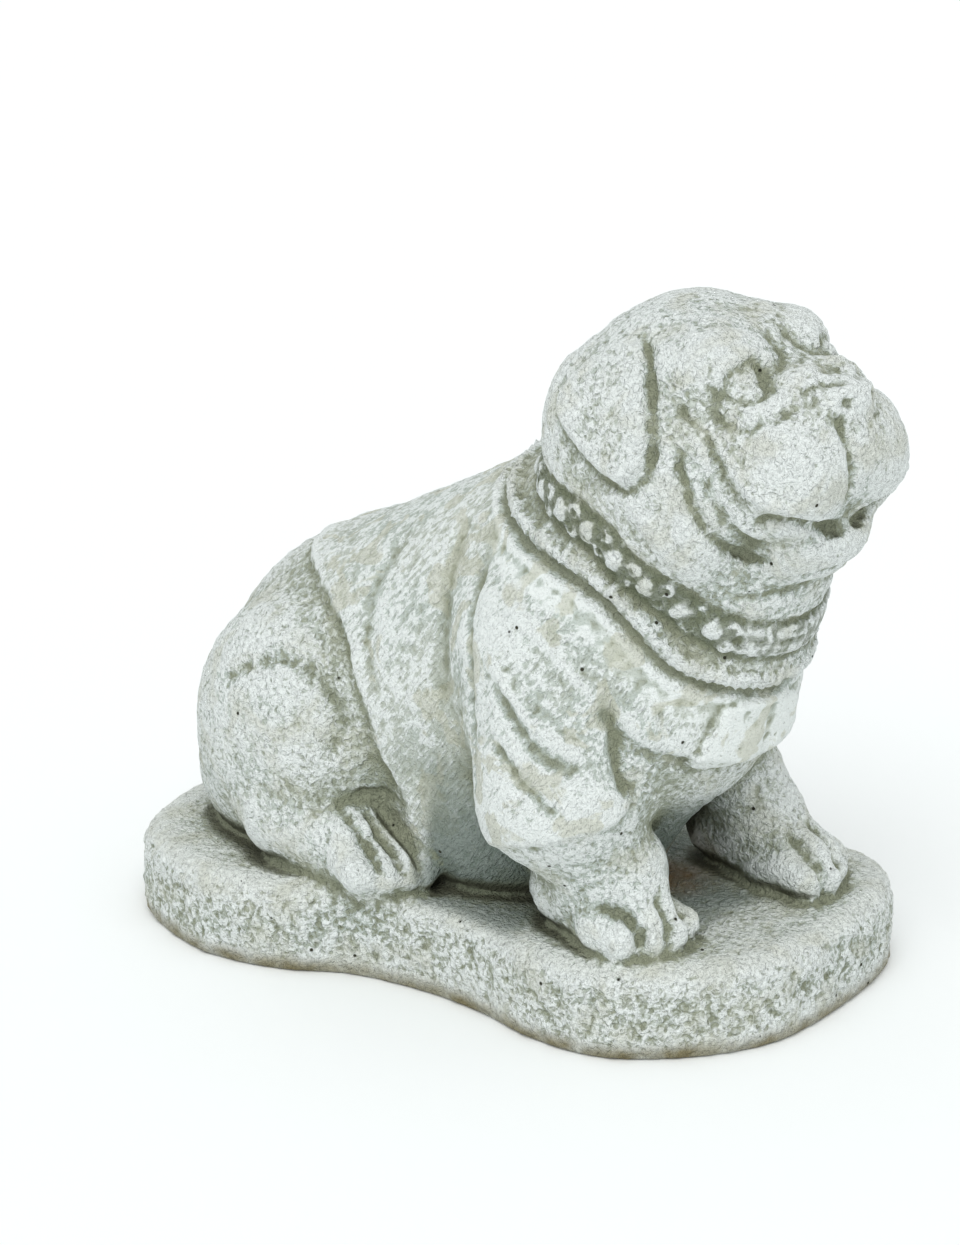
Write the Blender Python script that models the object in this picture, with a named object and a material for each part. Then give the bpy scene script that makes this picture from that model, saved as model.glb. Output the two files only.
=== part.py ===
"""A cast concrete garden statue, in metres with +Z up: a bulldog sitting up in a short-sleeved knitted
shirt and a studded collar, its head raised, cast in one with a freely shaped slab. It faces -Y, and the
origin is on the slab's underside."""

import math

import bmesh
import bpy
import numpy as np
from mathutils import Matrix, Vector

# Driving dimensions
FIGURE_HEIGHT = 0.220
SLAB_THICKNESS = 0.033
SLAB_MARGIN = 0.014
SLAB_EDGE_ROUND = 0.009
COLLAR_WIDTH = 0.014
COLLAR_STUDS = 26
MOST_TRIANGLES = 9400

# The figure is drawn in units of its own height, 220 to the crown, counted from the slab's top
UNITS_TALL = 220
UNIT = FIGURE_HEIGHT / UNITS_TALL
REMESH_UNITS = 2.2
SETTLE_ROUNDS = 4
# How strongly plain surface gives up its triangles to the face, the collar and the paws
PLAIN_YIELDS = 4

# Cast stone: pale grey with a little green
STONE_COLOUR = (0.56, 0.61, 0.54, 1.0)
STONE_ROUGHNESS = 0.92


def turned(pitch=0.0, roll=0.0, yaw=0.0):
    """A turn in degrees: pitch lifts the front, roll leans the top to +X, yaw swings the front to +X."""
    turn = Matrix.Rotation(math.radians(yaw), 3, "Z")
    turn = turn @ Matrix.Rotation(math.radians(-pitch), 3, "X")
    return np.array(turn @ Matrix.Rotation(math.radians(roll), 3, "Y"))


def ball(centre, radii, blend, turn=None):
    """An ellipsoid."""
    axes = np.eye(3) if turn is None else turn
    return {"kind": "ball", "centre": np.array(centre, float), "radii": np.array(radii, float),
            "axes": axes, "blend": blend}


def limb(start, end, start_radius, end_radius, blend):
    """A rounded cone between two balls."""
    return {"kind": "limb", "start": np.array(start, float), "end": np.array(end, float),
            "radii": (float(start_radius), float(end_radius)), "blend": blend}


def both_sides(form):
    """A form and its mirror image across the dog's middle."""
    flip = np.array([-1.0, 1.0, 1.0])
    twin = dict(form)
    for key in ("centre", "start", "end"):
        if key in form:
            twin[key] = form[key] * flip
    if "axes" in form:
        twin["axes"] = np.diag(flip) @ form["axes"] @ np.diag(flip)
    return [form, twin]


# The head has its own place and tilt
HEAD_PLACE = np.array([0.0, -66.0, 177.0])
HEAD_TURN = turned(pitch=18)


def on_head(side, forward, up):
    return HEAD_PLACE + HEAD_TURN @ np.array([side, -forward, up], float)


def head_ball(place, radii, blend, pitch=0.0, roll=0.0, yaw=0.0):
    return ball(on_head(*place), radii, blend, HEAD_TURN @ turned(pitch, roll, yaw))


def head_limb(start, end, start_radius, end_radius, blend):
    return limb(on_head(*start), on_head(*end), start_radius, end_radius, blend)


def trunk_forms():
    forms = [
        ball((0, -48, 90), (47, 44, 50), 1),
        limb((0, -34, 92), (0, 62, 56), 56, 54, 20),
        limb((0, -14, 111), (0, 77, 62), 46, 46, 16),
        ball((0, 84, 49), (57, 51, 51), 16),
        limb((0, -44, 112), (0, -60, 150), 48, 48, 14),
        ball((0, -88, 118), (28, 20, 26), 14),
        limb((0, -16, 30), (0, 60, 26), 34, 48, 16),
        ball((0, 10, 24), (50, 44, 36), 12),
        limb((0, -46, 66), (0, -20, 28), 32, 30, 10),
    ]
    forms += both_sides(ball((44, 80, 46), (30, 42, 47), 10, turned(pitch=-14)))
    forms += both_sides(ball((28, 100, 20), (32, 34, 30), 10))
    forms.append(limb((-36, -34, 100), (-45, -45, 54), 32, 30, 12))
    forms.append(limb((34, -32, 100), (38, -44, 60), 31, 25, 12))
    return forms


# Each toe as its place across and along the paw, the outer toes set back
FRONT_TOES = ((14, -76), (5, -82), (-3, -85), (-11, -83))
REAR_TOES = ((67, 28), (61, 22), (55, 18), (50, 15))


def front_leg_forms(side, elbow, stance, ahead, stout):
    """A foreleg below its sleeve, and its paw set a little ahead of or behind the other."""
    forms = [
        limb((side * elbow, -47, 47), (side * stance, -60 + 0.3 * ahead, 24), stout, stout - 6, 3),
        limb((side * (stance + 1), -60 + 0.5 * ahead, 17), (side * stance, -76 + ahead, 10),
             stout - 7, 11.5, 7),
        ball((side * (stance + 1), -68 + ahead, 7), (18, 15, 10), 4),
        limb((side * (stance + 1), -42 + 0.5 * ahead, 14), (side * stance, -74 + ahead, 4), 14, 12, 8),
    ]
    for toe, (out, along) in enumerate(FRONT_TOES):
        spot, tip = side * (stance + out), along + ahead
        forms.append(limb((spot, tip + 9, 9), (spot, tip, 6.5), 6.8, 6.5, 4 if toe == 0 else 1.2))
    return forms


def rear_foot_forms():
    """A hind foot beside the belly, its four toes fanned outwards."""
    forms = both_sides(limb((56, 72, 17), (58, 40, 14), 18, 13, 7))
    forms += both_sides(limb((54, 60, 3), (58, 30, 4), 12, 10, 5))
    for out, along in REAR_TOES:
        forms += both_sides(limb((out - 6, along + 19, 16), (out, along + 1, 8.5), 8.5, 7.4, 1.6))
    return forms


def head_forms():
    forms = [
        head_ball((0, -1, 2), (46, 40, 42), 8),
        head_ball((0, 31, -7), (37, 28, 27), 10),
        head_ball((0, 8, -48), (31, 27, 23), 8),
        head_ball((0, 31, -44), (26, 20, 14), 4),
    ]
    forms += both_sides(head_ball((24, -20, 0), (23, 22, 32), 10))
    forms += both_sides(head_ball((30, 6, -18), (21, 28, 32), 8))
    forms.append(head_ball((0, 45, -14), (26, 21, 22), 8))
    forms += both_sides(head_ball((18, 43, -19), (20, 20, 22), 7))
    forms += both_sides(head_ball((17, 27, 20), (17, 13, 11), 12))
    forms += both_sides(head_limb((23, 43, 0), (8, 54, 6), 6, 7, 5))
    forms.append(head_ball((0, 61.5, -0.5), (12.5, 7.5, 7.5), 4))
    return forms


def distance_to(form, points):
    """Signed distance from each point to a form's surface, in units, minus inside."""
    if form["kind"] == "ball":
        local = (points - form["centre"]) @ form["axes"]
        scaled = np.linalg.norm(local / form["radii"], axis=1)
        steep = np.linalg.norm(local / form["radii"] ** 2, axis=1)
        return scaled * (scaled - 1) / np.maximum(steep, 1e-9)
    start, end = form["start"], form["end"]
    first, last = form["radii"]
    run = end - start
    length = np.linalg.norm(run)
    along = (points - start) @ run / length
    beside = np.linalg.norm(points - start - along[:, None] * run / length, axis=1)
    slope = (first - last) / length
    flat = math.sqrt(1 - slope * slope)
    share = np.clip((along + beside * slope / flat) / length, 0, 1)
    return np.hypot(along - share * length, beside) - (first + (last - first) * share)


def soft_min(first, second, blend):
    mix = np.clip(0.5 + 0.5 * (first - second) / blend, 0, 1)
    return first + (second - first) * mix - blend * mix * (1 - mix)


def blended(forms, points):
    """The distance to all the forms together, with soft joins. A form counts only for the points near it."""
    total = np.full(len(points), 20.0)
    for index, form in enumerate(forms):
        widest = max(later["blend"] for later in forms[index:])
        if form["kind"] == "ball":
            middle, reach = form["centre"], form["radii"].max()
        else:
            middle = (form["start"] + form["end"]) / 2
            reach = np.linalg.norm(form["end"] - form["start"]) / 2 + max(form["radii"])
        close = np.flatnonzero(((points - middle) ** 2).sum(axis=1) < (reach + widest + 3) ** 2)
        total[close] = soft_min(total[close], distance_to(form, points[close]), form["blend"])
    return total


# Where the figure's feet and seat reach on the slab, anticlockwise from the front, seen from above
FOOTPRINT = ((-14, -98), (24, -100), (60, -93), (74, -76), (64, -46), (54, -8), (58, 28), (70, 62),
             (68, 102), (50, 131), (10, 140), (-30, 139), (-60, 126), (-73, 94), (-69, 66), (-54, 40),
             (-47, 8), (-47, -22), (-51, -48), (-45, -74))


def smooth_path(corners, steps=5, closed=False):
    """Points on a smooth curve through the corners."""
    corners = np.array(corners, float)
    if closed:
        ends = np.concatenate([corners[-1:], corners, corners[:2]])
    else:
        ends = np.concatenate([2 * corners[:1] - corners[1:2], corners, 2 * corners[-1:] - corners[-2:-1]])
    points = []
    for before, here, after, beyond in zip(ends, ends[1:], ends[2:], ends[3:]):
        for t in np.arange(steps) / steps:
            points.append(0.5 * (2 * here + (after - before) * t
                                 + (2 * before - 5 * here + 4 * after - beyond) * t ** 2
                                 + (3 * here - before - 3 * after + beyond) * t ** 3))
    if not closed:
        points.append(corners[-1])
    return np.array(points)


def ring_distance(ring, flat_points):
    """Signed distance in the plane to a closed ring of points, minus inside."""
    nearest = np.full(len(flat_points), 1e9)
    inside = np.zeros(len(flat_points), bool)
    for start, end in zip(ring, np.roll(ring, -1, axis=0)):
        edge = end - start
        away = flat_points - start
        share = np.clip(away @ edge / (edge @ edge), 0, 1)
        nearest = np.minimum(nearest, ((away - share[:, None] * edge) ** 2).sum(axis=1))
        crosses = (start[1] > flat_points[:, 1]) != (end[1] > flat_points[:, 1])
        at = start[0] + edge[0] * (flat_points[:, 1] - start[1]) / (edge[1] if edge[1] else 1e-9)
        inside ^= crosses & (flat_points[:, 0] < at)
    return np.where(inside, -1, 1) * np.sqrt(nearest)


TRIM = 0.2
SLAB_RING = smooth_path(FOOTPRINT, closed=True)
THICK = SLAB_THICKNESS / UNIT + TRIM
MARGIN = SLAB_MARGIN / UNIT
TOP_ROUND = SLAB_EDGE_ROUND / UNIT
FOOT_ROUND = 0.4 * TOP_ROUND


def slab_distance(points):
    middle = -THICK / 2
    edge_round = np.where(points[:, 2] > middle, TOP_ROUND, FOOT_ROUND)
    beside = ring_distance(SLAB_RING, points[:, :2]) - MARGIN + edge_round
    above = np.abs(points[:, 2] - middle) - THICK / 2 + edge_round
    outer = np.hypot(np.maximum(beside, 0), np.maximum(above, 0))
    return np.minimum(np.maximum(beside, above), 0) + outer - edge_round


# The right paw and the left paw: side, elbow, stance, how far ahead and how stout
PAWS = ((-1, 45, 35, 3, 25), (1, 38, 44, -8, 21))
FORMS = (trunk_forms() + front_leg_forms(*PAWS[0]) + front_leg_forms(*PAWS[1])
         + rear_foot_forms() + head_forms())
SLAB_BLEND = 3


def base_distance(points):
    """The plain rounded shape, before the carving."""
    return soft_min(blended(FORMS, points), slab_distance(points), SLAB_BLEND)


def slopes(points, distance, probe=0.05):
    here = distance(points)
    return here, np.stack([distance(points + probe * axis) - here for axis in np.eye(3)], axis=1) / probe


def onto_plain(points, rounds=SETTLE_ROUNDS, longest=2.0):
    """Moves points onto the plain shape."""
    for _ in range(rounds):
        here, slope = slopes(points, base_distance)
        step = np.clip(here, -longest, longest) / np.maximum((slope ** 2).sum(axis=1), 0.3)
        points = points - step[:, None] * slope
    return points


def laid_on(corners):
    """A smooth path through the corners on the plain shape's surface, so that it is carved evenly deep."""
    return onto_plain(smooth_path(corners), rounds=8, longest=4.0)


def follow(points, path):
    """For each point the nearest spot on a path, how far that is, and how far along the path it lies."""
    best = np.full(len(points), 1e9)
    spot = np.zeros((len(points), 3))
    travelled = np.zeros(len(points))
    start_at = 0.0
    for start, end in zip(path, path[1:]):
        run = end - start
        length = np.linalg.norm(run)
        share = np.clip((points - start) @ run / length ** 2, 0, 1)
        here = start + share[:, None] * run
        gap = ((points - here) ** 2).sum(axis=1)
        closer = gap < best
        best[closer] = gap[closer]
        spot[closer] = here[closer]
        travelled[closer] = start_at + share[closer] * length
        start_at += length
    return spot, np.sqrt(best), travelled, start_at


def eased(values):
    values = np.clip(values, 0, 1)
    return values * values * (3 - 2 * values)


def near_path(points, path, reach):
    low, high = path.min(axis=0) - reach, path.max(axis=0) + reach
    return np.flatnonzero(((points > low) & (points < high)).all(axis=1))


def line_relief(points, path, width, height, fade=0.2):
    """A soft ridge along a path, or a crease where the height is minus, running out at both ends."""
    relief = np.zeros(len(points))
    close = near_path(points, path, 3 * width)
    if len(close):
        _, gap, travelled, whole = follow(points[close], path)
        share = travelled / whole
        ends = eased(share / fade + 0.15) * eased((1 - share) / fade + 0.15)
        relief[close] = height * np.exp(-(gap / width) ** 2) * ends
    return relief


def lip_relief(points, path, toward, height, edge=3.2, fade=24, reach=40):
    """The edge of a garment: a step up along a path, raised on one side of it and dying away further in."""
    relief = np.zeros(len(points))
    close = near_path(points, path, reach)
    spot, gap, travelled, whole = follow(points[close], path)
    inward = (points[close] - spot) @ (np.array(toward, float) / np.linalg.norm(toward))
    ends = eased(travelled / whole * 8 + 0.2) * eased((1 - travelled / whole) * 8 + 0.2)
    fading = np.exp(-gap / fade) * eased(2 - 2 * gap / reach)
    relief[close] = height * eased(inward / edge + 0.5) * fading * ends
    return relief


def dome_relief(points, centre, radius, height):
    gap = np.linalg.norm(points - np.array(centre, float), axis=1) / radius
    return height * np.clip(1 - gap ** 2, 0, 1) ** 0.75


# The head's carving, each spot as side, forward and up from the head's middle
EAR_OUTLINE = ((9, 32), (13, 22), (15, 10), (15, 0), (12, -7), (5, -11), (-4, -6), (-11, 1), (-18, 10),
               (-21, 20), (-12, 29), (-2, 34))
EAR_RAISE = 4.0
HEAD_LINES = (
    (((27, 8, 35), (33, 12, 29), (38, 15, 19), (43, 16, 10), (47, 17, 1), (49, 13, -8)), 1.8, -2.6),
    (((37, 24, 11), (38, 25, 7), (38, 28, 3), (38, 31, -2), (38, 35, -7)), 1.7, -2.2),
    (((42, 24, -1), (45, 24, -10), (45, 25, -20), (43, 26, -29), (37, 27, -37), (27, 28, -44), (23, 37, -46)),
     2.1, -3.4),
    (((37, 26, 7), (39, 30, -2), (40, 32, -12), (38, 34, -23), (33, 36, -32), (26, 38, -40)), 3.0, 2.6),
    (((36, 34, 0), (38, 38, -9), (38, 41, -15), (38, 45, -23), (34, 51, -28), (27, 56, -31)), 2.6, 2.0),
    (((34, 38, -33), (34, 44, -32), (30, 51, -34), (20, 52, -38), (8, 51, -41), (0, 51, -41)), 2.2, -4.4),
    (((51, 3, -14), (51, 8, -23), (47, 12, -36), (37, 15, -47)), 4.0, 1.4),
    (((30, 18, -56), (18, 27, -58), (6, 33, -58), (0, 34, -58)), 2.2, -1.4),
    (((14, 36, -50), (5, 41, -51), (0, 41, -51)), 2.0, -1.2),
    (((33, 32, 9), (34, 35, 4), (34, 39, 1), (33, 45, -2), (30, 49, -1), (25, 54, 0), (18, 56, 3)),
     1.9, -1.8),
    (((29, 33, 26), (32, 35, 20), (32, 34, 14), (33, 34, 7)), 2.2, -1.6),
    (((4, 41, 30), (6, 47, 20), (15, 46, 12)), 2.4, -1.6),
    (((24, 25, 36), (13, 35, 32), (2, 40, 27)), 3.4, -0.9),
    (((16, 57, 9), (13, 59, 12), (8, 60, 13), (0, 59, 13)), 1.6, -1.8),
    (((17, 57, 3), (14, 59, 6), (10, 63, 7), (0, 65, 6)), 1.5, -1.8),
    (((32, 35, 11), (30, 36, 16), (27, 39, 19), (20, 41, 21), (14, 43, 19), (14, 46, 15)), 1.9, 2.0),
    (((30, 37, 11), (28, 39, 15), (24, 41, 17), (19, 43, 17), (17, 46, 13)), 1.2, -1.9),
    (((31, 36, 9), (31, 39, 7), (30, 44, 5), (27, 48, 5), (22, 51, 6)), 1.5, 1.7),
    (((19, 43, 16), (20, 45, 12), (23, 47, 9), (26, 47, 7)), 1.5, -1.8),
)
EYE = (24, 41, 12)
NOSTRIL = (7.5, 67, -2)
PHILTRUM = ((12, 64, -3), (10, 65, -9), (9, 65, -15), (8, 64, -22), (7, 62, -29), (6, 57, -36))

# The body's carving, on the dog's right side and mirrored
HEM_BEHIND = ((0, 96, 104), (-25, 89, 104), (-36, 75, 101), (-46, 59, 96), (-52, 47, 88), (-55, 40, 75),
              (-55, 34, 62), (-53, 30, 45), (-48, 22, 28))
HEM_SLEEVE = ((-54, -26, 34), (-66, -38, 40), (-68, -54, 45), (-62, -66, 49), (-53, -73, 51), (-44, -78, 58))
HEM_FRONT = ((-53, -71, 87), (-46, -77, 78), (-38, -83, 73), (-30, -88, 69), (-20, -92, 66), (0, -94, 64))
NECK_SEAM = ((0, 0, 150), (-20, -2, 148), (-36, -12, 143), (-46, -28, 138), (-50, -47, 133), (-49, -63, 126),
             (-45, -73, 116), (-40, -81, 106), (-33, -88, 99), (-22, -95, 95), (0, -101, 92))
COLLAR = ((0, -18, 168), (-22, -22, 164), (-38, -34, 157), (-46, -48, 152), (-49, -62, 146), (-48, -71, 138),
          (-43, -81, 130), (-34, -91, 121), (-22, -101, 114), (0, -108, 110))
BODY_LINES = (
    (((-46, -10, 137), (-58, -13, 117), (-65, -18, 101), (-66, -20, 84), (-65, -23, 66), (-62, -30, 48)),
     3.4, -2.4),
    (((-55, -68, 92), (-52, -73, 83), (-51, -76, 69), (-46, -78, 58)), 3.0, -3.0),
    (((-68, -36, 94), (-70, -46, 82), (-69, -56, 74), (-62, -68, 69)), 2.4, -2.2),
    (((-70, -34, 77), (-72, -48, 66), (-70, -58, 58), (-66, -64, 54)), 2.4, -2.2),
    (((-66, -30, 104), (-69, -46, 89), (-67, -59, 80), (-60, -70, 73)), 2.6, 1.8),
    (((-61, -32, 122), (-62, -51, 111), (-59, -61, 100), (-55, -68, 92)), 3.0, 1.6),
    (((-36, 40, 134), (-50, 42, 112), (-57, 38, 92), (-60, 30, 70)), 4.0, -1.6),
    (((-40, 10, 146), (-56, 8, 122), (-64, 4, 96), (-64, 0, 70)), 4.5, -1.8),
    (((-69, 96, 62), (-66, 76, 77), (-63, 60, 78), (-61, 48, 69), (-62, 43, 56), (-66, 48, 44)), 4.0, -2.0),
    (((-64, 47, 25), (-56, 43, 30), (-50, 37, 32), (-48, 28, 31)), 2.0, -1.6),
)


def toe_gaps():
    """The lines between the toes, as paths that climb from the slab over the knuckles."""
    paths = []
    for side, _, stance, ahead, _ in PAWS:
        for (out, along), (next_out, next_along) in zip(FRONT_TOES, FRONT_TOES[1:]):
            across, tip = side * (stance + (out + next_out) / 2), (along + next_along) / 2 + ahead
            paths.append(((across, tip - 5, 3), (across, tip - 2, 10), (across, tip + 6, 16),
                          (across, tip + 14, 20)))
    for side in (-1, 1):
        for (out, along), (next_out, next_along) in zip(REAR_TOES, REAR_TOES[1:]):
            across, tip = side * (out + next_out) / 2, (along + next_along) / 2
            paths.append(((across, tip - 5, 3), (across, tip - 3, 11), (across - side, tip + 6, 19),
                          (across - 3 * side, tip + 20, 27)))
    return paths


def laid_lines(lines, on_the_head=False):
    """Carved lines with their paths laid on the plain shape, from spots on the head or on the body."""
    laid = []
    for corners, width, height in lines:
        if on_the_head:
            corners = [on_head(-side, forward, up) for side, forward, up in corners]
        laid.append((laid_on(corners), width, height))
    return laid


LAID_LINES = laid_lines(HEAD_LINES, on_the_head=True) + laid_lines(BODY_LINES)
LAID_PHILTRUM = laid_lines([(PHILTRUM, 1.6, -2.6)], on_the_head=True)[0]
LAID_TOE_GAPS = [laid_on(corners) for corners in toe_gaps()]
PATCH_OUTLINE = ((-20, 88), (-6, 90), (14, 86), (20, 74), (15, 63), (-12, 63), (-27, 66), (-26, 75),
                 (-23, 83))


def head_place(points):
    """Points as side, forward and up from the head's middle."""
    return ((points - HEAD_PLACE) @ HEAD_TURN) * (-1, -1, 1)


def carving(points, studs=True):
    """How far the carving stands out from the plain shape at each point on it."""
    mirrored = np.concatenate([-np.abs(points[:, :1]), points[:, 1:]], axis=1)
    head_points = head_place(mirrored)
    relief = line_relief(points, *LAID_PHILTRUM)
    for path, width, height in LAID_LINES:
        relief += line_relief(mirrored, path, width, height)
    for path in LAID_TOE_GAPS:
        relief += line_relief(points, path, 1.5, -3.0, fade=0.3)

    flap = ring_distance(smooth_path(EAR_OUTLINE, closed=True), head_points[:, 1:])
    hanging = (head_points[:, 0] > 20) * (0.3 + 0.7 * eased((34 - head_points[:, 2]) / 22))
    relief += hanging * (EAR_RAISE * eased(-flap / 3.0 + 0.3) - 0.8 * eased((-flap - 3.5) / 8))
    relief -= dome_relief(head_points, EYE, 12, 2.6)
    relief += dome_relief(head_points, EYE, 6.5, 3.2)
    relief -= dome_relief(head_points, NOSTRIL, 3.2, 3.0)

    relief += lip_relief(mirrored, laid_on(HEM_BEHIND), (0.1, -0.9, 0.3), 2.6)
    relief += lip_relief(mirrored, laid_on(HEM_SLEEVE), (-0.1, 0.2, 1), 2.0)
    relief += lip_relief(mirrored, laid_on(HEM_FRONT), (0, -0.3, 1), 2.6, edge=4.0, fade=30)
    patch = ring_distance(smooth_path(PATCH_OUTLINE, closed=True), points[:, [0, 2]])
    raised = 2.4 * eased(-patch / 2.0 + 0.3) - 1.0 * np.exp(-((patch - 0.8) / 1.2) ** 2)
    relief += raised * (points[:, 1] < -70)

    seam = laid_on(NECK_SEAM)
    close = near_path(mirrored, seam, 24)
    spot, gap, travelled, whole = follow(mirrored[close], seam)
    above = np.where((mirrored[close] - spot)[:, 2] > 0, 1, -1) * gap
    roll = np.exp(-((above - 5) / 3.2) ** 2) * 2.6
    second = np.exp(-((above + 4.2) / 1.6) ** 2) * 1.3
    relief[close] += roll + second - 2.4 * np.exp(-(above / 1.6) ** 2)

    collar = laid_on(COLLAR)
    close = near_path(mirrored, collar, 20)
    spot, gap, travelled, whole = follow(mirrored[close], collar)
    half = COLLAR_WIDTH / UNIT / 2
    relief[close] -= 1.6 * np.exp(-((gap - half) / 1.5) ** 2)
    plate = 1.5 * eased((25 - (whole - travelled)) / 2.0)
    relief[close] += plate * eased((half - 1.5 - gap) / 1.5 + 0.5)
    if studs:
        pitch = whole / (COLLAR_STUDS / 2)
        aside = (travelled / pitch - 0.5 - np.floor(travelled / pitch)) * pitch
        stud = np.clip(1 - (aside ** 2 + gap ** 2) / (0.36 * pitch) ** 2, 0, 1) ** 0.75
        relief[close] += 2.4 * stud * (whole - travelled > 33)
    return relief


def settled(points):
    """Moves points onto the plain shape, then out or in by the carving."""
    points = onto_plain(points)
    outward = slopes(points, base_distance)[1]
    outward /= np.linalg.norm(outward, axis=1)[:, None]
    return points + carving(points)[:, None] * outward


def add_ball(mesh, centre, radii, axes):
    place = (Matrix.Translation(Vector(centre)) @ Matrix(axes.tolist()).to_4x4()
             @ Matrix.Diagonal((*radii, 1)))
    return bmesh.ops.create_icosphere(mesh, subdivisions=3, radius=1, matrix=place)["verts"]


def add_limb(mesh, form):
    part = bmesh.new()
    for place, radius in zip((form["start"], form["end"]), form["radii"]):
        add_ball(part, place, (radius, radius, radius), np.eye(3))
    hull = bmesh.ops.convex_hull(part, input=part.verts)
    bmesh.ops.delete(part, geom=hull["geom_interior"], context="VERTS")
    shell = bpy.data.meshes.new("limb")
    part.to_mesh(shell)
    part.free()
    mesh.from_mesh(shell)
    bpy.data.meshes.remove(shell)


def add_slab(mesh):
    ahead = np.roll(SLAB_RING, -1, axis=0) - np.roll(SLAB_RING, 1, axis=0)
    outward = np.stack([ahead[:, 1], -ahead[:, 0]], axis=1) / np.linalg.norm(ahead, axis=1)[:, None]
    outline = [mesh.verts.new((*corner, -THICK)) for corner in SLAB_RING + MARGIN * outward]
    face = mesh.faces.new(outline)
    raised = bmesh.ops.extrude_face_region(mesh, geom=[face])
    top = [item for item in raised["geom"] if isinstance(item, bmesh.types.BMVert)]
    bmesh.ops.translate(mesh, verts=top, vec=(0, 0, THICK))
    faces = list({linked for vert in outline + top for linked in vert.link_faces})
    bmesh.ops.recalc_face_normals(mesh, faces=faces)


def blank_mesh():
    """The rough blank: every form as its own shell, and the slab."""
    mesh = bmesh.new()
    for form in FORMS:
        if form["kind"] == "ball":
            add_ball(mesh, form["centre"], form["radii"], form["axes"])
        else:
            add_limb(mesh, form)
    add_slab(mesh)
    blank = bpy.data.meshes.new("blank")
    mesh.to_mesh(blank)
    mesh.free()
    return blank


def with_modifier(mesh, kind, weights=None, **settings):
    """A copy of a mesh with one modifier carried out."""
    holder = bpy.data.objects.new("holder", mesh)
    bpy.context.scene.collection.objects.link(holder)
    if weights is not None:
        group = holder.vertex_groups.new(name="plain")
        for index, weight in enumerate(weights):
            group.add([index], float(weight), "REPLACE")
        settings["vertex_group"] = group.name
    modifier = holder.modifiers.new(kind.title(), kind)
    for name, value in settings.items():
        setattr(modifier, name, value)
    bpy.context.view_layer.update()
    graph = bpy.context.evaluated_depsgraph_get()
    result = bpy.data.meshes.new_from_object(holder.evaluated_get(graph))
    bpy.data.objects.remove(holder)
    bpy.data.meshes.remove(mesh)
    return result


def points_of(mesh):
    points = np.empty(len(mesh.vertices) * 3)
    mesh.vertices.foreach_get("co", points)
    return points.reshape(-1, 3)


def carved_mesh(voxel):
    """The blank made one closed skin, then settled onto the blended forms and carved."""
    mesh = with_modifier(blank_mesh(), "REMESH", mode="VOXEL", voxel_size=voxel)
    mesh.vertices.foreach_set("co", settled(points_of(mesh)).ravel())
    mesh.update()
    return mesh


def trimmed_flat(mesh, level):
    """Cuts the underside level and closes it."""
    cut = bmesh.new()
    cut.from_mesh(mesh)
    geometry = cut.verts[:] + cut.edges[:] + cut.faces[:]
    sliced = bmesh.ops.bisect_plane(cut, geom=geometry, dist=1e-4, plane_co=(0, 0, level),
                                    plane_no=(0, 0, -1), clear_outer=True)
    rim = [item for item in sliced["geom_cut"] if isinstance(item, bmesh.types.BMEdge)]
    bmesh.ops.holes_fill(cut, edges=rim, sides=0)
    bmesh.ops.triangulate(cut, faces=cut.faces[:])
    bmesh.ops.recalc_face_normals(cut, faces=cut.faces[:])
    cut.to_mesh(mesh)
    cut.free()


def plainness(points):
    """How plain the surface is: the face, the collar and the paws keep more of their triangles."""
    face = np.linalg.norm((points - on_head(0, 34, -8)) / (58, 44, 56), axis=1)
    collar = smooth_path(COLLAR)
    gap = follow(points * np.where(points[:, :1] > 0, (-1, 1, 1), (1, 1, 1)), collar)[1]
    paws = np.where((points[:, 2] > -2) & (points[:, 2] < 26) & (points[:, 1] < -60), 0.8, 2.0)
    near = np.minimum(np.minimum(face, gap / 10 + 0.25), paws)
    return 0.2 + 0.8 * eased(near - 0.4)


def stone_material():
    stone = bpy.data.materials.new("cast_stone")
    stone.use_nodes = True
    shader = stone.node_tree.nodes["Principled BSDF"]
    shader.inputs["Base Color"].default_value = STONE_COLOUR
    shader.inputs["Roughness"].default_value = STONE_ROUGHNESS
    stone.diffuse_color = STONE_COLOUR
    return stone


def main():
    for obj in list(bpy.data.objects):
        bpy.data.objects.remove(obj)
    mesh = carved_mesh(REMESH_UNITS)
    mesh = with_modifier(mesh, "DECIMATE", plainness(points_of(mesh)), vertex_group_factor=PLAIN_YIELDS,
                         ratio=MOST_TRIANGLES / (2 * len(mesh.polygons)))
    trimmed_flat(mesh, TRIM - THICK)
    mesh.transform(Matrix.Translation((0, 0, SLAB_THICKNESS)) @ Matrix.Diagonal((UNIT, UNIT, UNIT, 1)))
    mesh.shade_smooth()
    mesh.materials.append(stone_material())
    statue = bpy.data.objects.new("cast_bulldog", mesh)
    bpy.context.scene.collection.objects.link(statue)


if __name__ == "__main__":
    main()
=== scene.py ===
"""A weathered cast stone garden statue on a pale studio floor: a bulldog sitting up in a short-sleeved
knitted shirt and a studded collar, cast in one with its slab."""

import math

import bmesh
import bpy
import numpy as np
from mathutils import Matrix, Vector


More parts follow.
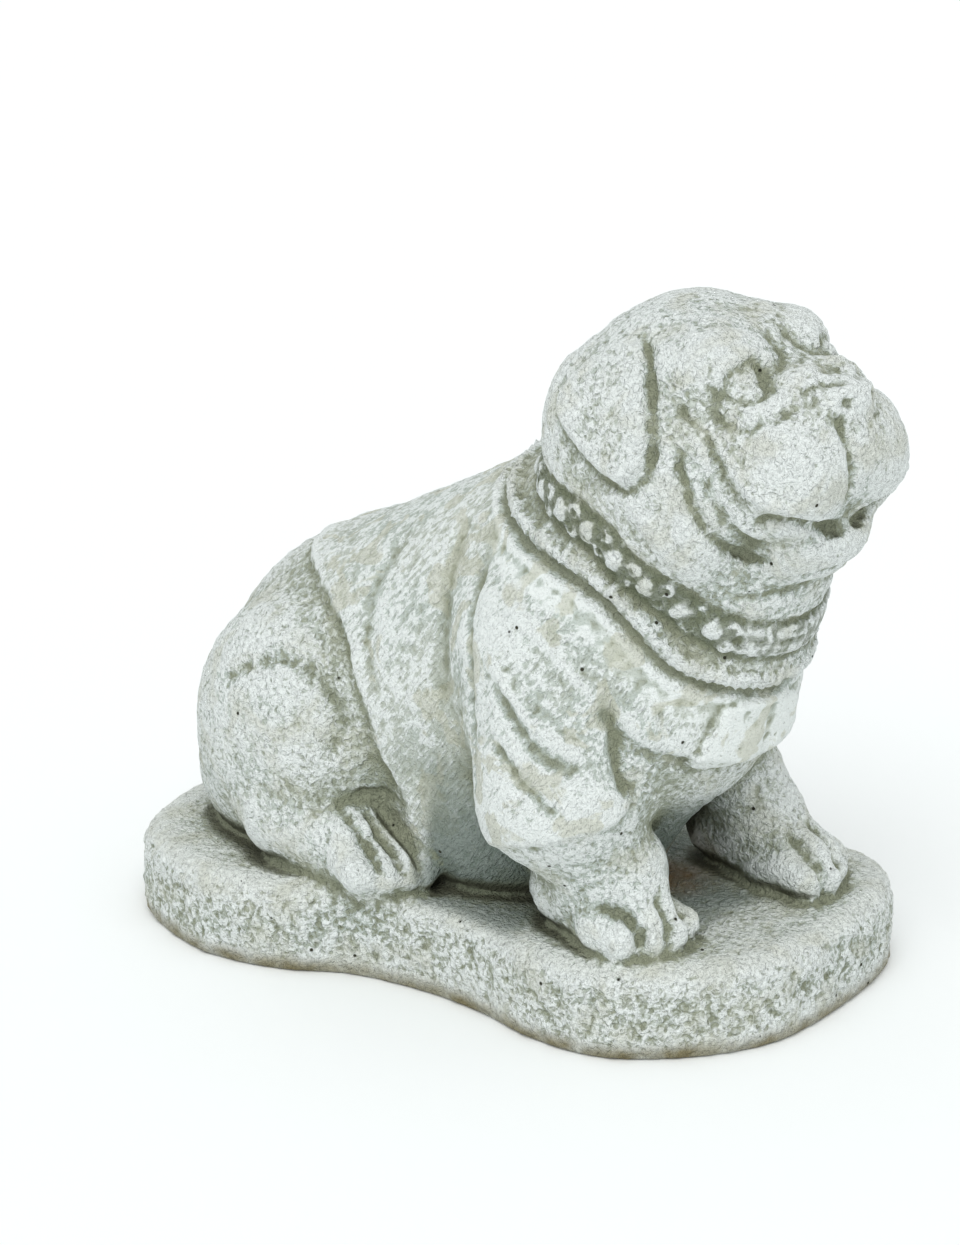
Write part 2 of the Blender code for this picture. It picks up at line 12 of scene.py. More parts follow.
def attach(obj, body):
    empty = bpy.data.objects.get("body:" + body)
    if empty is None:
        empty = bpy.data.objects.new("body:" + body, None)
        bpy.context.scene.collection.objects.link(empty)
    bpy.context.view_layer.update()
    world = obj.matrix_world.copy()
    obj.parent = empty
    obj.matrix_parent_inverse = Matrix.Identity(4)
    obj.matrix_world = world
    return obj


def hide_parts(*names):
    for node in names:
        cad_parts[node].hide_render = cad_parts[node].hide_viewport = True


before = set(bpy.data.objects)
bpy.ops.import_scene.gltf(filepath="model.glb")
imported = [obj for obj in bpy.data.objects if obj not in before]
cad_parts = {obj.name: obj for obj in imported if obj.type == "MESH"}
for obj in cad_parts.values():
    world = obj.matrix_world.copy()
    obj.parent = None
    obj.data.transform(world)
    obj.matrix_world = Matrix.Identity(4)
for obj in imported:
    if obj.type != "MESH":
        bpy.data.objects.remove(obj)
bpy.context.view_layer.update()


# The casting's plain shape
# The dog and its slab are one piece of wet-cast concrete, poured in a rubber mould. Its shape is given
# in millimetres from the slab's top, as round forms that run into each other as a clay model has them.
SLAB_THICKNESS = 33
SLAB_MARGIN = 14
SLAB_EDGE_ROUND = 9
TRIM = 0.2


def turned(pitch=0.0, roll=0.0, yaw=0.0):
    """A turn in degrees: pitch lifts the front, roll leans the top to +X, yaw swings the front to +X."""
    turn = Matrix.Rotation(math.radians(yaw), 3, "Z")
    turn = turn @ Matrix.Rotation(math.radians(-pitch), 3, "X")
    return np.array(turn @ Matrix.Rotation(math.radians(roll), 3, "Y"))


def ball(centre, radii, blend, turn=None):
    """An ellipsoid."""
    axes = np.eye(3) if turn is None else turn
    return {"kind": "ball", "centre": np.array(centre, float), "radii": np.array(radii, float),
            "axes": axes, "blend": blend}


def limb(start, end, start_radius, end_radius, blend):
    """A rounded cone between two balls."""
    return {"kind": "limb", "start": np.array(start, float), "end": np.array(end, float),
            "radii": (float(start_radius), float(end_radius)), "blend": blend}


def both_sides(form):
    """A form and its mirror image across the dog's middle."""
    flip = np.array([-1.0, 1.0, 1.0])
    twin = dict(form)
    for key in ("centre", "start", "end"):
        if key in form:
            twin[key] = form[key] * flip
    if "axes" in form:
        twin["axes"] = np.diag(flip) @ form["axes"] @ np.diag(flip)
    return [form, twin]


# The head has its own place and tilt
HEAD_PLACE = np.array([0.0, -66.0, 177.0])
HEAD_TURN = turned(pitch=18)


def on_head(side, forward, up):
    return HEAD_PLACE + HEAD_TURN @ np.array([side, -forward, up], float)


def head_ball(place, radii, blend, pitch=0.0, roll=0.0, yaw=0.0):
    return ball(on_head(*place), radii, blend, HEAD_TURN @ turned(pitch, roll, yaw))


def head_limb(start, end, start_radius, end_radius, blend):
    return limb(on_head(*start), on_head(*end), start_radius, end_radius, blend)


def trunk_forms():
    forms = [
        ball((0, -48, 90), (47, 44, 50), 1),
        limb((0, -34, 92), (0, 62, 56), 56, 54, 20),
        limb((0, -14, 111), (0, 77, 62), 46, 46, 16),
        ball((0, 84, 49), (57, 51, 51), 16),
        limb((0, -44, 112), (0, -60, 150), 48, 48, 14),
        ball((0, -88, 118), (28, 20, 26), 14),
        limb((0, -16, 30), (0, 60, 26), 34, 48, 16),
        ball((0, 10, 24), (50, 44, 36), 12),
        limb((0, -46, 66), (0, -20, 28), 32, 30, 10),
    ]
    forms += both_sides(ball((44, 80, 46), (30, 42, 47), 10, turned(pitch=-14)))
    forms += both_sides(ball((28, 100, 20), (32, 34, 30), 10))
    forms.append(limb((-36, -34, 100), (-45, -45, 54), 32, 30, 12))
    forms.append(limb((34, -32, 100), (38, -44, 60), 31, 25, 12))
    return forms


# Each toe as its place across and along the paw, the outer toes set back
FRONT_TOES = ((14, -76), (5, -82), (-3, -85), (-11, -83))
REAR_TOES = ((67, 28), (61, 22), (55, 18), (50, 15))


def front_leg_forms(side, elbow, stance, ahead, stout):
    """A foreleg below its sleeve, and its paw set a little ahead of or behind the other."""
    forms = [
        limb((side * elbow, -47, 47), (side * stance, -60 + 0.3 * ahead, 24), stout, stout - 6, 3),
        limb((side * (stance + 1), -60 + 0.5 * ahead, 17), (side * stance, -76 + ahead, 10),
             stout - 7, 11.5, 7),
        ball((side * (stance + 1), -68 + ahead, 7), (18, 15, 10), 4),
        limb((side * (stance + 1), -42 + 0.5 * ahead, 14), (side * stance, -74 + ahead, 4), 14, 12, 8),
    ]
    for toe, (out, along) in enumerate(FRONT_TOES):
        spot, tip = side * (stance + out), along + ahead
        forms.append(limb((spot, tip + 9, 9), (spot, tip, 6.5), 6.8, 6.5, 4 if toe == 0 else 1.2))
    return forms


def rear_foot_forms():
    """A hind foot beside the belly, its four toes fanned outwards."""
    forms = both_sides(limb((56, 72, 17), (58, 40, 14), 18, 13, 7))
    forms += both_sides(limb((54, 60, 3), (58, 30, 4), 12, 10, 5))
    for out, along in REAR_TOES:
        forms += both_sides(limb((out - 6, along + 19, 16), (out, along + 1, 8.5), 8.5, 7.4, 1.6))
    return forms


def head_forms():
    forms = [
        head_ball((0, -1, 2), (46, 40, 42), 8),
        head_ball((0, 31, -7), (37, 28, 27), 10),
        head_ball((0, 8, -48), (31, 27, 23), 8),
        head_ball((0, 31, -44), (26, 20, 14), 4),
    ]
    forms += both_sides(head_ball((24, -20, 0), (23, 22, 32), 10))
    forms += both_sides(head_ball((30, 6, -18), (21, 28, 32), 8))
    forms.append(head_ball((0, 45, -14), (26, 21, 22), 8))
    forms += both_sides(head_ball((18, 43, -19), (20, 20, 22), 7))
    forms += both_sides(head_ball((17, 27, 20), (17, 13, 11), 12))
    forms += both_sides(head_limb((23, 43, 0), (8, 54, 6), 6, 7, 5))
    forms.append(head_ball((0, 61.5, -0.5), (12.5, 7.5, 7.5), 4))
    return forms


def distance_to(form, points):
    """Signed distance from each point to a form's surface, minus inside."""
    if form["kind"] == "ball":
        local = (points - form["centre"]) @ form["axes"]
        scaled = np.linalg.norm(local / form["radii"], axis=1)
        steep = np.linalg.norm(local / form["radii"] ** 2, axis=1)
        return scaled * (scaled - 1) / np.maximum(steep, 1e-9)
    start, end = form["start"], form["end"]
    first, last = form["radii"]
    run = end - start
    length = np.linalg.norm(run)
    along = (points - start) @ run / length
    beside = np.linalg.norm(points - start - along[:, None] * run / length, axis=1)
    slope = (first - last) / length
    flat = math.sqrt(1 - slope * slope)
    share = np.clip((along + beside * slope / flat) / length, 0, 1)
    return np.hypot(along - share * length, beside) - (first + (last - first) * share)


def soft_min(first, second, blend):
    mix = np.clip(0.5 + 0.5 * (first - second) / blend, 0, 1)
    return first + (second - first) * mix - blend * mix * (1 - mix)


def blended(forms, points):
    """The distance to all the forms, softly joined. A form counts only for the points near it."""
    total = np.full(len(points), 20.0)
    for index, form in enumerate(forms):
        widest = max(later["blend"] for later in forms[index:])
        if form["kind"] == "ball":
            middle, reach = form["centre"], form["radii"].max()
        else:
            middle = (form["start"] + form["end"]) / 2
            reach = np.linalg.norm(form["end"] - form["start"]) / 2 + max(form["radii"])
        close = np.flatnonzero(((points - middle) ** 2).sum(axis=1) < (reach + widest + 3) ** 2)
        total[close] = soft_min(total[close], distance_to(form, points[close]), form["blend"])
    return total


# Where the figure's feet and seat reach on the slab, anticlockwise from the front, seen from above
FOOTPRINT = ((-14, -98), (24, -100), (60, -93), (74, -76), (64, -46), (54, -8), (58, 28), (70, 62),
             (68, 102), (50, 131), (10, 140), (-30, 139), (-60, 126), (-73, 94), (-69, 66), (-54, 40),
             (-47, 8), (-47, -22), (-51, -48), (-45, -74))


def smooth_path(corners, steps=5, closed=False):
    """Points on a smooth curve through the corners."""
    corners = np.array(corners, float)
    if closed:
        ends = np.concatenate([corners[-1:], corners, corners[:2]])
    else:
        before_first, after_last = 2 * corners[:1] - corners[1:2], 2 * corners[-1:] - corners[-2:-1]
        ends = np.concatenate([before_first, corners, after_last])
    points = []
    for before, here, after, beyond in zip(ends, ends[1:], ends[2:], ends[3:]):
        for t in np.arange(steps) / steps:
            points.append(0.5 * (2 * here + (after - before) * t
                                 + (2 * before - 5 * here + 4 * after - beyond) * t ** 2
                                 + (3 * here - before - 3 * after + beyond) * t ** 3))
    if not closed:
        points.append(corners[-1])
    return np.array(points)


def ring_distance(ring, flat_points):
    """Signed distance in the plane to a closed ring of points, minus inside."""
    nearest = np.full(len(flat_points), 1e9)
    inside = np.zeros(len(flat_points), bool)
    for start, end in zip(ring, np.roll(ring, -1, axis=0)):
        edge = end - start
        away = flat_points - start
        share = np.clip(away @ edge / (edge @ edge), 0, 1)
        nearest = np.minimum(nearest, ((away - share[:, None] * edge) ** 2).sum(axis=1))
        crosses = (start[1] > flat_points[:, 1]) != (end[1] > flat_points[:, 1])
        at = start[0] + edge[0] * (flat_points[:, 1] - start[1]) / (edge[1] if edge[1] else 1e-9)
        inside ^= crosses & (flat_points[:, 0] < at)
    return np.where(inside, -1, 1) * np.sqrt(nearest)


SLAB_RING = smooth_path(FOOTPRINT, closed=True)
THICK = SLAB_THICKNESS + TRIM


def slab_distance(points):
    middle = -THICK / 2
    edge_round = np.where(points[:, 2] > middle, SLAB_EDGE_ROUND, 0.4 * SLAB_EDGE_ROUND)
    beside = ring_distance(SLAB_RING, points[:, :2]) - SLAB_MARGIN + edge_round
    above = np.abs(points[:, 2] - middle) - THICK / 2 + edge_round
    outer = np.hypot(np.maximum(beside, 0), np.maximum(above, 0))
    return np.minimum(np.maximum(beside, above), 0) + outer - edge_round


# The right paw and the left paw: side, elbow, stance, how far ahead and how stout
PAWS = ((-1, 45, 35, 3, 25), (1, 38, 44, -8, 21))
FORMS = (trunk_forms() + front_leg_forms(*PAWS[0]) + front_leg_forms(*PAWS[1])
         + rear_foot_forms() + head_forms())


def base_distance(points):
    """The plain rounded shape, before the carving."""
    return soft_min(blended(FORMS, points), slab_distance(points), 3)


# The carving
# Folds, features, hems, collar and patch stand out of the plain shape, or are cut into it, by up to four
# millimetres. They were modelled in clay with a loop tool, so they are soft ridges and round grooves.
COLLAR_WIDTH = 14
SETTLE_ROUNDS = 4


def slopes(points, distance, probe=0.05):
    here = distance(points)
    return here, np.stack([distance(points + probe * axis) - here for axis in np.eye(3)], axis=1) / probe


def onto_plain(points, rounds=SETTLE_ROUNDS, longest=2.0):
    """Moves points onto the plain shape."""
    for _ in range(rounds):
        here, slope = slopes(points, base_distance)
        step = np.clip(here, -longest, longest) / np.maximum((slope ** 2).sum(axis=1), 0.3)
        points = points - step[:, None] * slope
    return points


def laid_on(corners):
    """A smooth path through the corners, laid on the plain shape so that it is carved evenly deep."""
    return onto_plain(smooth_path(corners), rounds=8, longest=4.0)


def follow(points, path):
    """For each point the nearest spot on a path, how far that is, and how far along the path it lies."""
    best = np.full(len(points), 1e9)
    spot = np.zeros((len(points), 3))
    travelled = np.zeros(len(points))
    start_at = 0.0
    for start, end in zip(path, path[1:]):
        run = end - start
        length = np.linalg.norm(run)
        share = np.clip((points - start) @ run / length ** 2, 0, 1)
        here = start + share[:, None] * run
        gap = ((points - here) ** 2).sum(axis=1)
        closer = gap < best
        best[closer] = gap[closer]
        spot[closer] = here[closer]
        travelled[closer] = start_at + share[closer] * length
        start_at += length
    return spot, np.sqrt(best), travelled, start_at


def eased(values):
    values = np.clip(values, 0, 1)
    return values * values * (3 - 2 * values)


def near_path(points, path, reach):
    low, high = path.min(axis=0) - reach, path.max(axis=0) + reach
    return np.flatnonzero(((points > low) & (points < high)).all(axis=1))


def line_relief(points, path, width, height, fade=0.2):
    """A soft ridge along a path, or a crease where the height is minus, running out at both ends."""
    relief = np.zeros(len(points))
    close = near_path(points, path, 3 * width)
    if len(close):
        _, gap, travelled, whole = follow(points[close], path)
        share = travelled / whole
        ends = eased(share / fade + 0.15) * eased((1 - share) / fade + 0.15)
        relief[close] = height * np.exp(-(gap / width) ** 2) * ends
    return relief


def lip_relief(points, path, toward, height, edge=3.2, fade=24, reach=40):
    """A garment's edge: a step up along a path, raised on one side and dying away further in."""
    relief = np.zeros(len(points))
    close = near_path(points, path, reach)
    spot, gap, travelled, whole = follow(points[close], path)
    inward = (points[close] - spot) @ (np.array(toward, float) / np.linalg.norm(toward))
    ends = eased(travelled / whole * 8 + 0.2) * eased((1 - travelled / whole) * 8 + 0.2)
    fading = np.exp(-gap / fade) * eased(2 - 2 * gap / reach)
    relief[close] = height * eased(inward / edge + 0.5) * fading * ends
    return relief


def dome_relief(points, centre, radius, height):
    gap = np.linalg.norm(points - np.array(centre, float), axis=1) / radius
    return height * np.clip(1 - gap ** 2, 0, 1) ** 0.75


# The head's carving, each spot as side, forward and up from the head's middle
EAR_OUTLINE = ((9, 32), (13, 22), (15, 10), (15, 0), (12, -7), (5, -11), (-4, -6), (-11, 1), (-18, 10),
               (-21, 20), (-12, 29), (-2, 34))
EAR_RAISE = 4.0
HEAD_LINES = (
    (((27, 8, 35), (33, 12, 29), (38, 15, 19), (43, 16, 10), (47, 17, 1), (49, 13, -8)), 1.8, -2.6),
    (((37, 24, 11), (38, 25, 7), (38, 28, 3), (38, 31, -2), (38, 35, -7)), 1.7, -2.2),
    (((42, 24, -1), (45, 24, -10), (45, 25, -20), (43, 26, -29), (37, 27, -37), (27, 28, -44),
      (23, 37, -46)), 2.1, -3.4),
    (((37, 26, 7), (39, 30, -2), (40, 32, -12), (38, 34, -23), (33, 36, -32), (26, 38, -40)), 3.0, 2.6),
    (((36, 34, 0), (38, 38, -9), (38, 41, -15), (38, 45, -23), (34, 51, -28), (27, 56, -31)), 2.6, 2.0),
    (((34, 38, -33), (34, 44, -32), (30, 51, -34), (20, 52, -38), (8, 51, -41), (0, 51, -41)), 2.2, -4.4),
    (((51, 3, -14), (51, 8, -23), (47, 12, -36), (37, 15, -47)), 4.0, 1.4),
    (((30, 18, -56), (18, 27, -58), (6, 33, -58), (0, 34, -58)), 2.2, -1.4),
    (((14, 36, -50), (5, 41, -51), (0, 41, -51)), 2.0, -1.2),
    (((33, 32, 9), (34, 35, 4), (34, 39, 1), (33, 45, -2), (30, 49, -1), (25, 54, 0), (18, 56, 3)),
     1.9, -1.8),
    (((29, 33, 26), (32, 35, 20), (32, 34, 14), (33, 34, 7)), 2.2, -1.6),
    (((4, 41, 30), (6, 47, 20), (15, 46, 12)), 2.4, -1.6),
    (((24, 25, 36), (13, 35, 32), (2, 40, 27)), 3.4, -0.9),
    (((16, 57, 9), (13, 59, 12), (8, 60, 13), (0, 59, 13)), 1.6, -1.8),
    (((17, 57, 3), (14, 59, 6), (10, 63, 7), (0, 65, 6)), 1.5, -1.8),
    (((32, 35, 11), (30, 36, 16), (27, 39, 19), (20, 41, 21), (14, 43, 19), (14, 46, 15)), 1.9, 2.0),
    (((30, 37, 11), (28, 39, 15), (24, 41, 17), (19, 43, 17), (17, 46, 13)), 1.2, -1.9),
    (((31, 36, 9), (31, 39, 7), (30, 44, 5), (27, 48, 5), (22, 51, 6)), 1.5, 1.7),
    (((19, 43, 16), (20, 45, 12), (23, 47, 9), (26, 47, 7)), 1.5, -1.8),
    (((48, -7, -7), (49, -1, -11), (50, 5, -14), (50, 11, -12), (49, 16, -6), (47, 18, 1)), 1.8, -2.0),
)
# The eye's socket, its ball, the pupil and the nostril, each with its middle, radius and height
PUPIL = (22, 46, 12.5)
HEAD_ROUNDS = (((24, 41, 12), 12, -2.6), ((24, 41, 12), 7.4, 3.3), (PUPIL, 2.6, -1.5),
               ((7.5, 67, -2), 3.2, -3.0))
PHILTRUM = ((12, 64, -3), (10, 65, -9), (9, 65, -15), (8, 64, -22), (7, 62, -29), (6, 57, -36))

# The body's carving, on the dog's right side and mirrored
HEM_BEHIND = ((0, 96, 104), (-25, 89, 104), (-36, 75, 101), (-46, 59, 96), (-52, 47, 88), (-55, 40, 75),
              (-55, 34, 62), (-53, 30, 45), (-48, 22, 28))
HEM_SLEEVE = ((-54, -26, 34), (-66, -38, 40), (-68, -54, 45), (-62, -66, 49), (-53, -73, 51),
              (-44, -78, 58))
HEM_FRONT = ((-53, -71, 87), (-46, -77, 78), (-38, -83, 73), (-30, -88, 69), (-20, -92, 66), (0, -94, 64))
NECK_SEAM = ((0, 0, 150), (-20, -2, 148), (-36, -12, 143), (-46, -28, 138), (-50, -47, 133),
             (-49, -63, 126), (-45, -73, 116), (-40, -81, 106), (-33, -88, 99), (-22, -95, 95),
             (0, -101, 92))
COLLAR = ((0, -18, 168), (-22, -22, 164), (-38, -34, 157), (-46, -48, 152), (-49, -62, 146),
          (-48, -71, 138), (-43, -81, 130), (-34, -91, 121), (-22, -101, 114), (0, -108, 110))
BODY_LINES = (
    (((-46, -10, 137), (-58, -13, 117), (-65, -18, 101), (-66, -20, 84), (-65, -23, 66), (-62, -30, 48)),
     3.4, -2.4),
    (((-55, -68, 92), (-52, -73, 83), (-51, -76, 69), (-46, -78, 58)), 3.0, -3.0),
    (((-68, -36, 94), (-70, -46, 82), (-69, -56, 74), (-62, -68, 69)), 2.4, -2.2),
    (((-70, -34, 77), (-72, -48, 66), (-70, -58, 58), (-66, -64, 54)), 2.4, -2.2),
    (((-66, -30, 104), (-69, -46, 89), (-67, -59, 80), (-60, -70, 73)), 2.6, 1.8),
    (((-61, -32, 122), (-62, -51, 111), (-59, -61, 100), (-55, -68, 92)), 3.0, 1.6),
    (((-36, 40, 134), (-50, 42, 112), (-57, 38, 92), (-60, 30, 70)), 4.0, -1.6),
    (((-40, 10, 146), (-56, 8, 122), (-64, 4, 96), (-64, 0, 70)), 4.5, -1.8),
    (((-69, 96, 62), (-66, 76, 77), (-63, 60, 78), (-61, 48, 69), (-62, 43, 56), (-66, 48, 44)), 4.0, -2.0),
    (((-64, 47, 25), (-56, 43, 30), (-50, 37, 32), (-48, 28, 31)), 2.0, -1.6),
)


def toe_gaps():
    """The lines between the toes, as paths that climb from the slab over the knuckles."""
    paths = []
    for side, _, stance, ahead, _ in PAWS:
        for (out, along), (next_out, next_along) in zip(FRONT_TOES, FRONT_TOES[1:]):
            across, tip = side * (stance + (out + next_out) / 2), (along + next_along) / 2 + ahead
            paths.append(((across, tip - 5, 3), (across, tip - 2, 10), (across, tip + 6, 16),
                          (across, tip + 14, 20)))
    for side in (-1, 1):
        for (out, along), (next_out, next_along) in zip(REAR_TOES, REAR_TOES[1:]):
            across, tip = side * (out + next_out) / 2, (along + next_along) / 2
            paths.append(((across, tip - 5, 3), (across, tip - 3, 11), (across - side, tip + 6, 19),
                          (across - 3 * side, tip + 20, 27)))
    return paths


def laid_lines(lines, on_the_head=False):
    """Carved lines with their paths laid on the plain shape, from spots on the head or on the body."""
    laid = []
    for corners, width, height in lines:
        if on_the_head:
            corners = [on_head(-side, forward, up) for side, forward, up in corners]
        laid.append((laid_on(corners), width, height))
    return laid


LAID_LINES = laid_lines(HEAD_LINES, on_the_head=True) + laid_lines(BODY_LINES)
LAID_PHILTRUM = laid_lines([(PHILTRUM, 1.6, -2.6)], on_the_head=True)
LAID_TOE_GAPS = laid_lines([(corners, 1.7, -3.8) for corners in toe_gaps()])
# The chest patch's outline seen from the front, and how far ahead the chest starts to carry it
PATCH_OUTLINE = ((-20, 88), (-6, 90), (14, 86), (20, 74), (15, 63), (-12, 63), (-27, 66), (-26, 75),
                 (-23, 83))
PATCH_FROM = -70
PLATE_HALF_LENGTH = 25
# Rows of short strokes stand for lettering: three on the collar's plate, two on the chest patch
PLATE_ROWS = (4.0, 0.2, -3.6)
PLATE_ROWS_HALF = 20
PATCH_ROWS = (79, 73)
PATCH_ROWS_HALF = 11
PATCH_ROWS_ASIDE = -4
STROKE_PITCH = 4.2
STROKE_LENGTH = 2.6
# The finer mesh holds its lines a little narrower than the solid
SHARPER = 0.9


def right_side(points):
    """The same points brought over to the dog's right side."""
    return np.concatenate([-np.abs(points[:, :1]), points[:, 1:]], axis=1)


def head_place(points):
    """Points as side, forward and up from the head's middle."""
    return ((points - HEAD_PLACE) @ HEAD_TURN) * (-1, -1, 1)


def stroke_rows(across, up, rows, half_width):
    """Short level strokes in rows, cut with a blunt tool."""
    aside = (across / STROKE_PITCH - np.round(across / STROKE_PITCH)) * STROKE_PITCH
    beside = np.maximum(np.abs(aside) - STROKE_LENGTH / 2 + 0.5, 0)
    cut = np.zeros(len(across))
    for row in rows:
        cut = np.maximum(cut, np.exp(-((up - row) ** 2 + beside ** 2) / 0.7 ** 2))
    return cut * (np.abs(across) < half_width)


def carving(points):
    """How far the carving stands out from the plain shape at each point on it."""
    mirrored = right_side(points)
    head_points = head_place(mirrored)
    relief = np.zeros(len(points))
    for path, width, height in LAID_LINES:
        relief += line_relief(mirrored, path, SHARPER * width, height)
    for path, width, height in LAID_PHILTRUM:
        relief += line_relief(points, path, width, height)
    for path, width, height in LAID_TOE_GAPS:
        relief += line_relief(points, path, width, height, fade=0.3)

    # The ears' flaps stand out most at their free lower ends and are hollowed a little in the middle
    flap = ring_distance(smooth_path(EAR_OUTLINE, closed=True), head_points[:, 1:])
    hanging = (head_points[:, 0] > 20) * (0.3 + 0.7 * eased((34 - head_points[:, 2]) / 22))
    relief += hanging * (EAR_RAISE * eased(-flap / 2.8 + 0.3) - 0.8 * eased((-flap - 3.5) / 8))
    for middle, radius, height in HEAD_ROUNDS:
        relief += dome_relief(head_points, middle, radius, height)

    # The shirt's three hems, and the patch with a groove round it
    relief += lip_relief(mirrored, laid_on(HEM_BEHIND), (0.1, -0.9, 0.3), 2.6, edge=2.6)
    relief += lip_relief(mirrored, laid_on(HEM_SLEEVE), (-0.1, 0.2, 1), 2.0, edge=2.6)
    relief += lip_relief(mirrored, laid_on(HEM_FRONT), (0, -0.3, 1), 2.6, edge=3.4, fade=30)
    patch = ring_distance(smooth_path(PATCH_OUTLINE, closed=True), points[:, [0, 2]])
    raised = 2.4 * eased(-patch / 1.6 + 0.3) - 1.0 * np.exp(-((patch - 0.8) / 1.1) ** 2)
    raised -= stroke_rows(points[:, 0] - PATCH_ROWS_ASIDE, points[:, 2], PATCH_ROWS, PATCH_ROWS_HALF)
    relief += raised * (points[:, 1] < PATCH_FROM)

    # The neck seam is a groove between the rolled neckband above it and a flat stitched edge below
    seam = laid_on(NECK_SEAM)
    close = near_path(mirrored, seam, 24)
    spot, gap, _, _ = follow(mirrored[close], seam)
    above = np.where((mirrored[close] - spot)[:, 2] > 0, 1, -1) * gap
    roll = np.exp(-((above - 5) / 3.2) ** 2) * 2.6
    second = np.exp(-((above + 4.2) / 1.6) ** 2) * 1.3
    relief[close] += roll + second - 2.4 * np.exp(-(above / 1.5) ** 2)

    # The collar's strap has a groove along both edges and a raised plate in front
    collar = laid_on(COLLAR)
    close = near_path(mirrored, collar, 20)
    spot, gap, travelled, whole = follow(mirrored[close], collar)
    half = COLLAR_WIDTH / 2
    relief[close] -= 1.6 * np.exp(-((gap - half) / 1.3) ** 2)
    to_middle = whole - travelled
    plate = 1.5 * eased((PLATE_HALF_LENGTH - to_middle) / 1.6)
    relief[close] += plate * eased((half - 1.5 - gap) / 1.2 + 0.5)
    over = np.where((mirrored[close] - spot)[:, 2] > 0, 1, -1) * gap
    relief[close] -= 1.5 * stroke_rows(to_middle, over, PLATE_ROWS, PLATE_ROWS_HALF)
    return relief


def settled(points):
    """Moves points onto the plain shape, then out or in by the carving."""
    points = onto_plain(points)
    outward = slopes(points, base_distance)[1]
    outward /= np.linalg.norm(outward, axis=1)[:, None]
    return points + carving(points)[:, None] * outward


def add_ball(mesh, centre, radii, axes):
    place = (Matrix.Translation(Vector(centre)) @ Matrix(axes.tolist()).to_4x4()
             @ Matrix.Diagonal((*radii, 1)))
    return bmesh.ops.create_icosphere(mesh, subdivisions=3, radius=1, matrix=place)["verts"]


def add_limb(mesh, form):
    part = bmesh.new()
    for place, radius in zip((form["start"], form["end"]), form["radii"]):
        add_ball(part, place, (radius, radius, radius), np.eye(3))
    hull = bmesh.ops.convex_hull(part, input=part.verts)
    bmesh.ops.delete(part, geom=hull["geom_interior"], context="VERTS")
    shell = bpy.data.meshes.new("limb")
    part.to_mesh(shell)
    part.free()
    mesh.from_mesh(shell)
    bpy.data.meshes.remove(shell)


def add_slab(mesh):
    ahead = np.roll(SLAB_RING, -1, axis=0) - np.roll(SLAB_RING, 1, axis=0)
    outward = np.stack([ahead[:, 1], -ahead[:, 0]], axis=1) / np.linalg.norm(ahead, axis=1)[:, None]
    outline = [mesh.verts.new((*corner, -THICK)) for corner in SLAB_RING + SLAB_MARGIN * outward]
    face = mesh.faces.new(outline)
    raised = bmesh.ops.extrude_face_region(mesh, geom=[face])
    top = [item for item in raised["geom"] if isinstance(item, bmesh.types.BMVert)]
    bmesh.ops.translate(mesh, verts=top, vec=(0, 0, THICK))
    faces = list({linked for vert in outline + top for linked in vert.link_faces})
    bmesh.ops.recalc_face_normals(mesh, faces=faces)


def rough_blank():
    """Every form as its own shell, and the slab."""
    mesh = bmesh.new()
    for form in FORMS:
        if form["kind"] == "ball":
            add_ball(mesh, form["centre"], form["radii"], form["axes"])
        else:
            add_limb(mesh, form)
    add_slab(mesh)
    blank = bpy.data.meshes.new("blank")
    mesh.to_mesh(blank)
    mesh.free()
    return blank


def corners_of(mesh):
    points = np.empty(len(mesh.vertices) * 3)
    mesh.vertices.foreach_get("co", points)
    return points.reshape(-1, 3)


def carried_out(piece):
    """The piece's mesh with its modifiers carried out, in place of the old one."""
    bpy.context.view_layer.update()
    graph = bpy.context.evaluated_depsgraph_get()
    before = piece.data
    result = bpy.data.meshes.new_from_object(piece.evaluated_get(graph))
    piece.modifiers.clear()
    piece.data = result
    bpy.data.meshes.remove(before)


def linked(name, data):
    thing = bpy.data.objects.new(name, data)
    bpy.context.scene.collection.objects.link(thing)
    return thing


def edges_of(mesh):
    ends = np.empty(len(mesh.edges) * 2, np.int32)
    mesh.edges.foreach_get("vertices", ends)
    return ends.reshape(-1, 2).T


def neighbours_middle(points, edges):
    """For each corner of a mesh, the middle of the corners it shares an edge with."""
    first, second = edges
    number = len(points)
    shared = np.bincount(first, minlength=number) + np.bincount(second, minlength=number)
    total = [np.bincount(first, points[second, axis], number)
             + np.bincount(second, points[first, axis], number) for axis in range(3)]
    return np.stack(total, axis=1) / np.maximum(shared, 1)[:, None]


def without_spikes(points, edges, farthest, rounds=6):
    """Corners that stick out from their neighbours, as in a deep crease, are drawn back to them."""
    for _ in range(rounds):
        middle = neighbours_middle(points, edges)
        spikes = np.linalg.norm(points - middle, axis=1) > farthest
        points[spikes] = middle[spikes]
    return points


ROUGH_VOXEL = 1.6
SPIKE_LENGTH = 0.72 * ROUGH_VOXEL
casting = linked("weathered_casting", rough_blank())
one_skin = casting.modifiers.new("one skin", "REMESH")
one_skin.mode = "VOXEL"
one_skin.voxel_size = ROUGH_VOXEL
carried_out(casting)
carved = without_spikes(settled(corners_of(casting.data)), edges_of(casting.data), SPIKE_LENGTH)
casting.data.vertices.foreach_set("co", carved.ravel())
casting.data.update()


